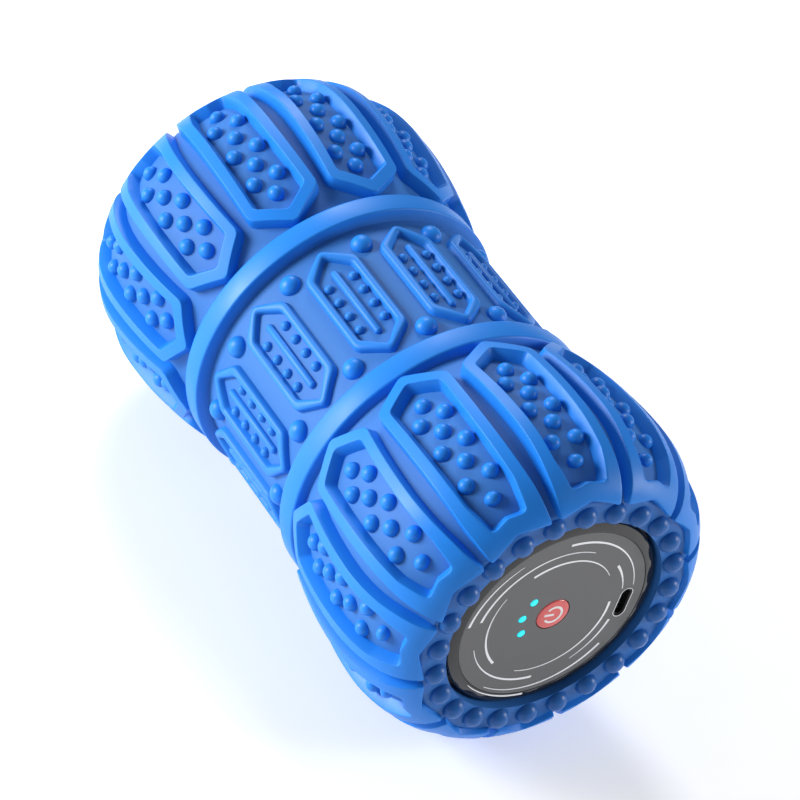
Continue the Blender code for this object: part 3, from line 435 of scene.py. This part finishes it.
# %% Waist domes and end studs
WAIST_DOME_X = 19.7 * MM
HALF_PITCH = 15 * DEG
waist_dome = dome("waist_dome", 3.4 * MM, 3.0 * MM, 20)
mark(waist_dome, ON_TOP)
small_rings = []
for side in (-1, 1):
    twin = copied(waist_dome, f"waist_dome_{side}")
    bpy.ops.transform.translate(value=(side * WAIST_DOME_X, 0, 0))
    wrap(twin, waist, FAR_TURN + HALF_PITCH)
    small_rings += turned_copies(twin, f"waist_dome_{side}", PITCHES)

STUD_RING = 40.0 * MM
end_stud = dome("end_stud", 3.6 * MM, 3.0 * MM, 20)
# The studs get the lowest mask level, which paints them in a dark shade blue.
mark(end_stud, ON_STUD)
for side, turn in ((1, NEAR_TURN), (-1, FAR_TURN)):
    twin = copied(end_stud, f"end_stud_{side}")
    twin.data.transform(Matrix.Rotation(side * 90 * DEG, 4, "Y"))
    twin.data.transform(Matrix.Translation((side * END_X, STUD_RING * math.cos(turn),
                                            AXIS_Z + STUD_RING * math.sin(turn))))
    small_rings += turned_copies(twin, f"end_stud_{side}", 2 * PITCHES)
for spare in (panel_dome, knob, waist_dome, end_stud):
    bpy.data.objects.remove(spare)
print("waist domes and studs", len(small_rings))

# %% [markdown]
# ## The sleeve's body
# Everything so far stands on one turned body: the groove floors, the two raised bands, the plain
# waist and the flat ring at each end. Its section is traced, its corners rounded, and it is spun.

# %% Trace and spin the body
def floor_place(x):
    """The groove floor under a station, as (x, height over the axis)."""
    along, radius, nx, nr = (float(item) for item in crown(np.array(flat_place(x))))
    return along - RIM * nx, radius - RIM * nr


END_RING = 44.8 * MM
BAND = (27.2 * MM, 34.6 * MM, 52.4 * MM)
BODY_STEPS = 144
half_section = [(END_X, BORE), (END_X, END_RING)]
half_section += [floor_place(x * MM) for x in (96.1, 93, 89, 84.5, 79.5, 74, 68, 60, 52, 44, 37.5)]
half_section += [(BAND[1] + 1.2 * MM, 49.4 * MM), (BAND[1], BAND[2]), (BAND[0], BAND[2]),
                 (BAND[0] - 0.5 * MM, WAIST_RADIUS)]
section = half_section + [(-x, radius) for x, radius in reversed(half_section)]
body = trace("sleeve_body", [(x, 0, radius + AXIS_Z) for x, radius in section])
sharp = (END_X, BAND[0], BAND[1])


def is_fold(place):
    """Corners of the section that are rounded: the ring's outer edge and the bands' edges."""
    near = min(abs(abs(place.x) - x) for x in sharp) < 0.1 * MM
    return near and place.z - AXIS_Z > 40 * MM


round_corners(body, 0.6 * MM, is_fold)
cut_long_edges(body, 40 * MM, 9)
edit(body)
bpy.ops.mesh.spin(steps=BODY_STEPS, angle=360 * DEG, center=AXIS, axis=(1, 0, 0),
                  use_auto_merge=True)
done()
outward(body)
# The body is marked as floor, which paints shade on the groove floors and the waist; the bands are
# lifted to the top level.
mark(body, ON_FLOOR)
mask = body.data.attributes["raised"].data
for vert, entry in zip(body.data.vertices, mask):
    reach = math.hypot(vert.co.y, vert.co.z - AXIS_Z)
    if abs(vert.co.x) < 36 * MM and reach > 51 * MM:
        entry.value = ON_TOP
    # The flat end rings get a low level that paints a darker shade on them.
    if abs(vert.co.x) > END_X - 0.2 * MM:
        entry.value = ON_RING
print("body faces", len(body.data.polygons))

# %% Join the tread
sleeve = joined("tread_sleeve", [body] + blocks + frames + small_rings)
smooth(sleeve, 34)
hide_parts("sleeve")
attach(sleeve, "housing")
sleeve.data.calc_loop_triangles()
print("sleeve triangles", len(sleeve.data.loop_triangles))

# %% [markdown]
# ## The control end
# A grey plate closes the end. It is held by a black polished ring, and carries the power button,
# three indicator lenses, the charging port and fine silver arcs. The holes are cut as they would
# be on the real plate, with a cutter of the hole's own shape.

# %% Turned pieces and cutters
def turned(name, section, steps=128):
    """Spin a traced section of (station, radius) points round the roller's axis."""
    piece = trace(name, [(x, 0, radius + AXIS_Z) for x, radius in section], closed=False)
    edit(piece)
    bpy.ops.mesh.spin(steps=steps, angle=360 * DEG, center=AXIS, axis=(1, 0, 0),
                      use_auto_merge=True)
    done()
    return outward(piece)


def at(radius, angle, x=0.0):
    """A place at a radius and an angle round the axis."""
    return Vector((x, radius * math.cos(angle), AXIS_Z + radius * math.sin(angle)))


def peg(name, low, high, radius, place, sides=48):
    """A cylinder along X between two stations."""
    bpy.ops.object.select_all(action="DESELECT")
    bpy.ops.mesh.primitive_cylinder_add(vertices=sides, radius=radius, depth=high - low,
                                        location=((low + high) / 2, place.y, place.z),
                                        rotation=(0, 90 * DEG, 0))
    piece = bpy.context.object
    piece.name = name
    return place_in_mesh(piece)


def cut_out(piece, cutter):
    """Cut one piece out of another and throw the cutter away."""
    only(piece)
    modifier = piece.modifiers.new("cut", "BOOLEAN")
    modifier.operation = "DIFFERENCE"
    modifier.solver = "EXACT"
    modifier.object = cutter
    bpy.ops.object.modifier_apply(modifier="cut")
    bpy.data.objects.remove(cutter)


def softened(piece, width, segments=3, angle=35):
    """Round the sharp edges a little, as a moulded or stamped edge is."""
    only(piece)
    modifier = piece.modifiers.new("edges", "BEVEL")
    modifier.width = width
    modifier.segments = segments
    modifier.limit_method = "ANGLE"
    modifier.angle_limit = angle * DEG
    bpy.ops.object.modifier_apply(modifier="edges")
    return smooth(piece)


def ready(piece, body, slot, *nodes):
    """Hang a finished piece on its body and hide the imported parts that it replaces."""
    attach(piece, body)
    if nodes:
        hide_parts(*nodes)
    return piece


# %% Obround outline for the port
CONTROL_ANGLE = 177.5 * DEG
PORT_ANGLE = CONTROL_ANGLE - 180 * DEG
PORT_PLACE = at(25.7 * MM, PORT_ANGLE)


def obround(name, length, width, x):
    """A slot-shaped outline across the plate, its long side round the axis."""
    half = (length - width) / 2
    corners = []
    for step in range(25):
        turn = (-90 + 180 * step / 24) * DEG
        corners.append((half + width / 2 * math.cos(turn), width / 2 * math.sin(turn)))
    corners += [(-along, -across) for along, across in corners]
    along_way = Vector((0, -math.sin(PORT_ANGLE), math.cos(PORT_ANGLE)))
    across_way = Vector((0, math.cos(PORT_ANGLE), math.sin(PORT_ANGLE)))
    places = [PORT_PLACE + along_way * a + across_way * b + Vector((x, 0, 0)) for a, b in corners]
    return trace(name, [tuple(place) for place in places])


def slot_prism(name, length, width, low, high):
    """A solid slot shape between two stations."""
    piece = obround(name, length, width, low)
    edit(piece)
    bpy.ops.mesh.edge_face_add()
    bpy.ops.mesh.extrude_region_move(TRANSFORM_OT_translate={"value": (high - low, 0, 0)})
    done()
    return outward(piece)


# %% Plate, with its holes
PLATE_BACK = FACE_X - 1.6 * MM
PLATE_RADIUS = 31.4 * MM
RING_INSIDE = 31.55 * MM
RING_OUTSIDE = 35.0 * MM
BUTTON_RADIUS = 5.5 * MM
BUTTON_GAP = 0.25 * MM
LENS_ANGLES = [CONTROL_ANGLE + step * 34 * DEG for step in (-1, 0, 1)]
LENS_RING = 10.9 * MM
LENS_RADIUS = 1.35 * MM
control_plate = turned("control_plate", [(PLATE_BACK, 0), (PLATE_BACK, PLATE_RADIUS),
                                         (FACE_X, PLATE_RADIUS), (FACE_X, 0)])
cut_out(control_plate, peg("cutter", PLATE_BACK - MM, FACE_X + MM, BUTTON_RADIUS + BUTTON_GAP,
                           AXIS, 96))
for angle in LENS_ANGLES:
    cut_out(control_plate, peg("cutter", PLATE_BACK - MM, FACE_X + MM, LENS_RADIUS + 0.12 * MM,
                               at(LENS_RING, angle)))
cut_out(control_plate, slot_prism("cutter", 11.6 * MM, 4.7 * MM, PLATE_BACK - MM, FACE_X + MM))
softened(control_plate, 0.12 * MM, 2)
ready(control_plate, "housing", "plate_grey", "face_plate")
print("plate faces", len(control_plate.data.polygons))

# %% Polished ring round the plate
polished_ring = turned("polished_ring", [
    (PLATE_BACK, RING_INSIDE), (FACE_X + 0.1 * MM, RING_INSIDE), (FACE_X + 0.1 * MM, 31.9 * MM),
    (FACE_X - 0.55 * MM, 34.6 * MM), (FACE_X - 0.9 * MM, RING_OUTSIDE), (PLATE_BACK, RING_OUTSIDE),
    (PLATE_BACK, RING_INSIDE)])
softened(polished_ring, 0.12 * MM, 2, 20)
ready(polished_ring, "housing", "bezel_black", "bezel_ring")

# %% Power button, a disc on a stem
BUTTON_TOP = FACE_X + 0.25 * MM
STEM_END = BUTTON_TOP - 3.5 * MM
STEM_RADIUS = 2.0 * MM
DISC_BACK = BUTTON_TOP - 1.5 * MM
button = turned("button_cap", [
    (STEM_END, 0), (STEM_END, STEM_RADIUS), (DISC_BACK, STEM_RADIUS), (DISC_BACK, BUTTON_RADIUS),
    (BUTTON_TOP - 0.35 * MM, BUTTON_RADIUS), (BUTTON_TOP - 0.1 * MM, BUTTON_RADIUS - 0.3 * MM),
    (BUTTON_TOP - 0.04 * MM, 3.0 * MM), (BUTTON_TOP, 0)], 96)
softened(button, 0.12 * MM, 2)
ready(button, "button", "button_red", "power_button")


# %% [markdown]
# ## Prints
# The silver arcs and the power symbol are printed on. A print is thin, but it has an edge, so each
# is traced as an outline and given a few hundredths of a millimetre of thickness. The arcs taper.

# %% Printed arcs
def stroke(name, radii, start, stop, widths, x, points=28, thick=0.05 * MM):
    """A printed arc whose radius and width change evenly along it."""
    outline = []
    for edge, steps in ((1, range(points + 1)), (-1, range(points, -1, -1))):
        for step in steps:
            share = step / points
            radius = radii[0] + (radii[1] - radii[0]) * share
            width = widths[0] + (widths[1] - widths[0]) * share
            outline.append(tuple(at(radius + edge * width / 2, start + (stop - start) * share, x)))
    piece = trace(name, outline)
    edit(piece)
    bpy.ops.mesh.edge_face_add()
    bpy.ops.mesh.extrude_region_move(TRANSFORM_OT_translate={"value": (thick, 0, 0)})
    done()
    return outward(piece)


# each arc's radius at its start and its end in mm, then the two angles in degrees
ARCS = [(27.8, 27.6, 96, 12), (21.3, 20.0, 126, 36), (23.6, 23.8, 40, 12), (26.3, 23.8, 174, 72),
        (30.0, 28.5, 177, 128), (22.5, 22.4, 225, 152), (20.3, 22.3, 361, 253),
        (24.0, 24.9, 342, 302), (28.5, 30.2, 323, 238), (25.5, 26.4, 272, 199)]
arcs = []
for number, (first, last, start, stop) in enumerate(ARCS):
    arcs.append(stroke(f"arc_{number}", (first * MM, last * MM), start * DEG, stop * DEG,
                       (0.85 * MM, 0.2 * MM), FACE_X + 0.005 * MM))
arcs.append(stroke("arc_ring", (32.3 * MM, 32.3 * MM), 270 * DEG, 226 * DEG, (0.7 * MM, 0.2 * MM),
                   FACE_X + 0.02 * MM, 28, 0.1 * MM))
silver_arcs = joined("silver_arcs", arcs)
ready(silver_arcs, "housing", "port_metal")
print("silver arcs", len(arcs), "faces", len(silver_arcs.data.polygons))

# %% Power symbol
symbol_x = BUTTON_TOP - 0.07 * MM
gap = 38 * DEG
ring_part = stroke("symbol_ring", (2.9 * MM, 2.9 * MM), CONTROL_ANGLE + gap,
                   CONTROL_ANGLE + 360 * DEG - gap, (0.75 * MM, 0.75 * MM), symbol_x, 40, 0.1 * MM)
along = Vector((0, math.cos(CONTROL_ANGLE), math.sin(CONTROL_ANGLE)))
across = Vector((0, -math.sin(CONTROL_ANGLE), math.cos(CONTROL_ANGLE))) * 0.38 * MM
ends = [AXIS + along * reach + Vector((symbol_x, 0, 0)) for reach in (-0.2 * MM, 3.2 * MM)]
bar_part = trace("symbol_bar", [tuple(ends[0] - across), tuple(ends[1] - across),
                                tuple(ends[1] + across), tuple(ends[0] + across)])
edit(bar_part)
bpy.ops.mesh.edge_face_add()
bpy.ops.mesh.extrude_region_move(TRANSFORM_OT_translate={"value": (0.1 * MM, 0, 0)})
done()
outward(bar_part)
power_symbol = joined("power_symbol", [ring_part, bar_part])
ready(power_symbol, "button", "chip_white")

# %% Indicator lenses
lenses = []
for number, angle in enumerate(LENS_ANGLES, 1):
    low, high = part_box(f"indicator_lens_{number}")
    lens = peg(f"lens_{number}", low[0], FACE_X + 0.08 * MM, LENS_RADIUS, at(LENS_RING, angle))
    softened(lens, 0.2 * MM, 3)
    lenses.append(ready(lens, "housing", "lens_cyan", f"indicator_lens_{number}"))
print("lenses", len(lenses))

# %% Charging port
port_line = joined("port_line", [obround("port_outer", 11.4 * MM, 4.5 * MM, FACE_X - 0.02 * MM),
                                 obround("port_inner", 10.9 * MM, 4.0 * MM, FACE_X - 0.02 * MM)])
edit(port_line)
bpy.ops.mesh.bridge_edge_loops()
bpy.ops.mesh.select_all(action="SELECT")
bpy.ops.mesh.extrude_region_move(TRANSFORM_OT_translate={"value": (0.12 * MM, 0, 0)})
done()
outward(port_line)
ready(port_line, "housing", "port_metal")
port_well = joined("port_well", [obround("well_outer", 10.9 * MM, 4.0 * MM, PLATE_BACK),
                                 obround("well_inner", 9.6 * MM, 3.1 * MM, PLATE_BACK)])
edit(port_well)
bpy.ops.mesh.bridge_edge_loops()
bpy.ops.mesh.select_all(action="SELECT")
bpy.ops.mesh.extrude_region_move(TRANSFORM_OT_translate={"value": (1.2 * MM, 0, 0)})
done()
outward(port_well)
ready(port_well, "housing", "cap_black", "port_bezel")

# %% [markdown]
# ## The far end
# The far end has no controls. It is closed by a plain cover with a shallow dish and a turned rib,
# so that a hand can find it and it does not look like a flat disc.

# %% Rear cover
DISH = -FACE_X + 0.6 * MM
CENTRE = -FACE_X + 0.2 * MM
rear_cover = turned("rear_cover", [
    (-PLATE_BACK, 0), (-PLATE_BACK, RING_OUTSIDE), (-FACE_X + 0.8 * MM, RING_OUTSIDE),
    (CENTRE, 34.6 * MM), (-FACE_X, 33.6 * MM), (-FACE_X, 30.0 * MM), (DISH, 29.2 * MM),
    (DISH, 12.0 * MM), (CENTRE, 11.2 * MM), (CENTRE, 0)])
softened(rear_cover, 0.2 * MM, 2, 20)
ready(rear_cover, "housing", "cap_black", "rear_plate")

# %% [markdown]
# ## Finishes
# Moulded rubber and plastic are never one flat colour. Two small groups give what they share: a
# fine grain for the bump, and a soft handling mask that makes some places duller or paler. Each
# material keeps its own Principled shader and sets its own values on it.

# %% Shared groups
def new_group(name, inputs, outputs):
    """An empty shader group with float inputs and outputs."""
    group = bpy.data.node_groups.new(name, "ShaderNodeTree")
    for label, value in inputs:
        socket = group.interface.new_socket(name=label, in_out="INPUT",
                                            socket_type="NodeSocketFloat")
        socket.default_value = value
    for label in outputs:
        group.interface.new_socket(name=label, in_out="OUTPUT", socket_type="NodeSocketFloat")
    return group, group.nodes.new("NodeGroupInput"), group.nodes.new("NodeGroupOutput")


def noise(tree, coords, scale, detail=3.0):
    """A noise texture on the piece's own coordinates; scale is a number or a socket."""
    node = tree.nodes.new("ShaderNodeTexNoise")
    node.inputs["Detail"].default_value = detail
    tree.links.new(coords, node.inputs["Vector"])
    if isinstance(scale, float):
        node.inputs["Scale"].default_value = scale
    else:
        tree.links.new(scale, node.inputs["Scale"])
    return node.outputs["Fac"]


grain, grain_in, grain_out = new_group("mould grain", [("Scale", 2500.0)], ["Height"])
coords = grain.nodes.new("ShaderNodeTexCoord").outputs["Object"]
grain.links.new(noise(grain, coords, grain_in.outputs["Scale"]), grain_out.inputs["Height"])

wear, wear_in, wear_out = new_group("handling", [("Scale", 60.0), ("Low", 0.4), ("High", 0.7)],
                                    ["Mask"])
coords = wear.nodes.new("ShaderNodeTexCoord").outputs["Object"]
remap = wear.nodes.new("ShaderNodeMapRange")
wear.links.new(noise(wear, coords, wear_in.outputs["Scale"], 5.0), remap.inputs["Value"])
wear.links.new(wear_in.outputs["Low"], remap.inputs["From Min"])
wear.links.new(wear_in.outputs["High"], remap.inputs["From Max"])
wear.links.new(remap.outputs["Result"], wear_out.inputs["Mask"])


# %% A finish from the two groups
def mixed(tree, factor, first, second):
    """A colour between two colours; first may be a socket."""
    node = tree.nodes.new("ShaderNodeMix")
    node.data_type = "RGBA"
    tree.links.new(factor, node.inputs["Factor"])
    for socket, colour in ((node.inputs[6], first), (node.inputs[7], second)):
        if isinstance(colour, tuple):
            socket.default_value = (*colour, 1.0)
        else:
            tree.links.new(colour, socket)
    return node.outputs[2]


def blended(tree, factor, first, second):
    """A number between a socket's value and a fixed one."""
    node = tree.nodes.new("ShaderNodeMix")
    tree.links.new(factor, node.inputs[0])
    tree.links.new(first, node.inputs[2])
    node.inputs[3].default_value = second
    return node.outputs[0]


def spread(tree, factor, low, high):
    """A number between low and high."""
    node = tree.nodes.new("ShaderNodeMapRange")
    node.inputs["To Min"].default_value = low
    node.inputs["To Max"].default_value = high
    tree.links.new(factor, node.inputs["Value"])
    return node.outputs["Result"]


WEAR_SCALE = 60.0
GRAIN_DEPTH = 0.05 * MM
COAT_ROUGHNESS = 0.08


def finish(name, colour, worn, roughness, metallic=0.0, grain_scale=2500.0, bump=0.1, coat=0.0):
    """A Principled material whose colour, roughness and bump change a little over the surface."""
    material = bpy.data.materials.new(name)
    material.use_nodes = True
    tree = material.node_tree
    shader = tree.nodes["Principled BSDF"]
    handling = tree.nodes.new("ShaderNodeGroup")
    handling.node_tree = wear
    handling.inputs["Scale"].default_value = WEAR_SCALE
    handling.inputs["Low"].default_value = 0.4
    handling.inputs["High"].default_value = 0.7
    texture = tree.nodes.new("ShaderNodeGroup")
    texture.node_tree = grain
    texture.inputs["Scale"].default_value = grain_scale
    mask = handling.outputs["Mask"]
    tree.links.new(mixed(tree, mask, colour, worn), shader.inputs["Base Color"])
    tree.links.new(spread(tree, mask, roughness[0], roughness[1]), shader.inputs["Roughness"])
    lift = tree.nodes.new("ShaderNodeBump")
    lift.inputs["Strength"].default_value = bump
    lift.inputs["Distance"].default_value = GRAIN_DEPTH
    tree.links.new(texture.outputs["Height"], lift.inputs["Height"])
    tree.links.new(lift.outputs["Normal"], shader.inputs["Normal"])
    shader.inputs["Metallic"].default_value = metallic
    shader.inputs["Coat Weight"].default_value = coat
    shader.inputs["Coat Roughness"].default_value = COAT_ROUGHNESS
    return material


def dress(piece, material):
    """Give a piece one material."""
    piece.data.materials.clear()
    piece.data.materials.append(material)


# %% The rubber tread
# The floor and stud blues are painted shade and painted reflection: darker, greyer blues put on the
# lower parts in place of light shading them.
RAISED_BLUE = (0.0135, 0.205, 0.72)
WORN_BLUE = (0.014, 0.2, 0.68)
FLOOR_SHADE_BLUE = (0.036, 0.165, 0.49)
STUD_SHADE_BLUE = (0.012, 0.10, 0.36)
FLOOR_ROUGHNESS = 0.62
STUD_ROUGHNESS = 0.25
tread_rubber = finish("tread_rubber", RAISED_BLUE, WORN_BLUE, (0.38, 0.48),
                      grain_scale=1800.0, bump=0.12)
tree = tread_rubber.node_tree
shader = tree.nodes["Principled BSDF"]
raised = tree.nodes.new("ShaderNodeAttribute")
raised.attribute_name = "raised"
on_floor = spread(tree, raised.outputs["Fac"], 1.0, 0.0)
below = tree.nodes.new("ShaderNodeMapRange")
below.inputs["From Min"].default_value = 0.0
below.inputs["From Max"].default_value = -1.0
tree.links.new(raised.outputs["Fac"], below.inputs["Value"])
on_stud = below.outputs["Result"]

# Painted shade and reflection: a low mask value mixes the blue towards the floors' shade blue, and
# then towards the studs' darker shade blue.
top_colour = shader.inputs["Base Color"].links[0].from_socket
floor_shade_colour = mixed(tree, on_floor, top_colour, FLOOR_SHADE_BLUE)
tree.links.new(mixed(tree, on_stud, floor_shade_colour, STUD_SHADE_BLUE), shader.inputs["Base Color"])
top_roughness = shader.inputs["Roughness"].links[0].from_socket
floor_roughness = blended(tree, on_floor, top_roughness, FLOOR_ROUGHNESS)
tree.links.new(blended(tree, on_stud, floor_roughness, STUD_ROUGHNESS), shader.inputs["Roughness"])
shader.inputs["Specular IOR Level"].default_value = 0.25
dress(sleeve, tread_rubber)

# %% Plate, ring and far cover
dress(control_plate, finish("plate_grey", (0.105, 0.105, 0.106), (0.118, 0.118, 0.119),
                            (0.42, 0.55), grain_scale=3500.0, bump=0.08))
dress(polished_ring, finish("ring_black", (0.012, 0.012, 0.014), (0.016, 0.016, 0.018),
                            (0.05, 0.1), grain_scale=1200.0, bump=0.01))
dress(rear_cover, finish("cover_black", (0.018, 0.018, 0.022), (0.03, 0.03, 0.034),
                         (0.4, 0.55), grain_scale=1500.0, bump=0.15))

# %% Button, prints and port
red_gloss = finish("button_red", (0.72, 0.075, 0.065), (0.66, 0.065, 0.06), (0.22, 0.32),
                   bump=0.04, coat=0.5)
red_shader = red_gloss.node_tree.nodes["Principled BSDF"]
red_shader.inputs["Subsurface Weight"].default_value = 0.15
red_shader.inputs["Subsurface Radius"].default_value = (2 * MM, 0.6 * MM, 0.4 * MM)
dress(button, red_gloss)
dress(power_symbol, finish("symbol_white", (0.86, 0.85, 0.84), (0.8, 0.79, 0.78), (0.3, 0.4)))
dress(silver_arcs, finish("print_silver", (0.88, 0.88, 0.9), (0.8, 0.8, 0.82), (0.25, 0.4),
                          metallic=0.1))
dress(port_line, finish("port_silver", (0.75, 0.75, 0.76), (0.62, 0.62, 0.64), (0.25, 0.4),
                        metallic=0.2))
dress(port_well, finish("well_black", (0.006, 0.006, 0.007), (0.01, 0.01, 0.01), (0.3, 0.45)))

# %% Lit lenses
cyan_glow = finish("lens_cyan", (0.0, 0.72, 0.82), (0.0, 0.66, 0.78), (0.15, 0.25), bump=0.02)
cyan_shader = cyan_glow.node_tree.nodes["Principled BSDF"]
cyan_shader.inputs["Emission Color"].default_value = (0.0, 0.8, 0.9, 1.0)
cyan_shader.inputs["Emission Strength"].default_value = 0.45
for lens in lenses:
    dress(lens, cyan_glow)

# %% What the roller holds inside
STEEL = finish("plated_steel", (0.56, 0.56, 0.58), (0.42, 0.42, 0.43), (0.22, 0.4),
               metallic=1.0, grain_scale=900.0, bump=0.06)
BRASS = finish("weight_brass", (0.62, 0.46, 0.19), (0.48, 0.34, 0.14), (0.25, 0.45),
               metallic=1.0, grain_scale=700.0, bump=0.08)
COPPER = finish("wound_copper", (0.62, 0.27, 0.12), (0.45, 0.18, 0.08), (0.3, 0.45),
                metallic=1.0, grain_scale=3000.0, bump=0.3)
NICKEL = finish("nickel_strip", (0.62, 0.6, 0.54), (0.5, 0.48, 0.42), (0.25, 0.4),
                metallic=1.0, grain_scale=900.0, bump=0.05)
BLACK = finish("moulded_black", (0.022, 0.022, 0.026), (0.035, 0.035, 0.038), (0.4, 0.6),
               grain_scale=1500.0, bump=0.2)
RUBBER = finish("soft_black", (0.018, 0.018, 0.018), (0.04, 0.04, 0.04), (0.7, 0.9),
                grain_scale=1200.0, bump=0.3)
GREY = finish("chassis_grey", (0.22, 0.22, 0.24), (0.27, 0.27, 0.29), (0.45, 0.6),
              grain_scale=1500.0, bump=0.2)
BOARD = finish("board_green", (0.015, 0.17, 0.07), (0.02, 0.2, 0.09), (0.3, 0.42),
               grain_scale=1800.0)
WRAP = finish("cell_wrap", (0.04, 0.3, 0.27), (0.05, 0.35, 0.31), (0.28, 0.4),
              grain_scale=800.0, bump=0.05)
WHITE = finish("lamp_white", (0.8, 0.8, 0.72), (0.7, 0.7, 0.6), (0.3, 0.45))
WIRE_RED = finish("wire_red", (0.45, 0.02, 0.02), (0.38, 0.02, 0.02), (0.4, 0.5))
WIRE_BLACK = finish("wire_black", (0.02, 0.02, 0.02), (0.03, 0.03, 0.03), (0.4, 0.5))
FINISHES = {"core_black": BLACK, "cap_black": BLACK, "switch_black": BLACK, "bell_black": BLACK,
            "gasket_rubber": RUBBER, "mount_rubber": RUBBER, "chassis_grey": GREY,
            "port_metal": STEEL, "screw_steel": STEEL, "motor_steel": STEEL, "shaft_steel": STEEL,
            "board_green": BOARD, "chip_white": WHITE, "rotor_copper": COPPER,
            "weight_brass": BRASS, "cell_green": WRAP, "strip_nickel": NICKEL,
            "wire_red": WIRE_RED, "wire_black": WIRE_BLACK}
dressed = 0
for entry in frame["record"]["subparts"]:
    if entry["material_slot"] in FINISHES:
        dress(frame["nodes"][entry["node"]], FINISHES[entry["material_slot"]])
        dressed += 1
print("CAD nodes with a finish", dressed)

# %% [markdown]
# ## Stage
# The roller lies on a plain white floor in a bright, soft studio: a pale sky all round, one large
# window-like light from the left, two weaker ones from above and the right, and a camera from
# above its end.

# %% Floor, lights and camera
bpy.ops.object.select_all(action="DESELECT")
bpy.ops.mesh.primitive_plane_add(size=8, location=(0, 0, 0))
floor = bpy.context.object
floor.name = "floor"
floor_white = finish("floor_white", (0.9, 0.9, 0.9), (0.88, 0.88, 0.88), (0.6, 0.7))
floor_shader = floor_white.node_tree.nodes["Principled BSDF"]
floor_shader.inputs["Emission Color"].default_value = (1, 1, 1, 1)
floor_shader.inputs["Emission Strength"].default_value = 0.35
dress(floor, floor_white)

sky = bpy.data.worlds.new("studio")
bpy.context.scene.world = sky
sky.use_nodes = True
sky.node_tree.nodes["Background"].inputs["Color"].default_value = (0.93, 0.95, 1.0, 1.0)
sky.node_tree.nodes["Background"].inputs["Strength"].default_value = 0.27


def soft_light(name, place, size, power):
    """A square area light aimed at the middle of the roller."""
    data = bpy.data.lights.new(name, "AREA")
    data.size = size
    data.energy = power
    light = bpy.data.objects.new(name, data)
    bpy.context.scene.collection.objects.link(light)
    light.location = place
    light.rotation_euler = (AXIS - Vector(place)).to_track_quat("-Z", "Y").to_euler()


soft_light("window", (-0.7, -1.25, 0.45), 0.6, 31)
soft_light("top", (-1.0, 0.3, 1.0), 0.4, 9)
soft_light("fill", (0.7, 1.2, 0.5), 0.5, 11)

camera_data = bpy.data.cameras.new("camera")
camera = bpy.data.objects.new("camera", camera_data)
bpy.context.scene.collection.objects.link(camera)
camera.location = (0.64561, -0.57066, 0.70469)
camera.rotation_euler = (51.669 * DEG, -14.866 * DEG, 59.769 * DEG)
camera_data.lens = 158.2
bpy.context.scene.camera = camera
bpy.context.scene.view_settings.view_transform = "Standard"
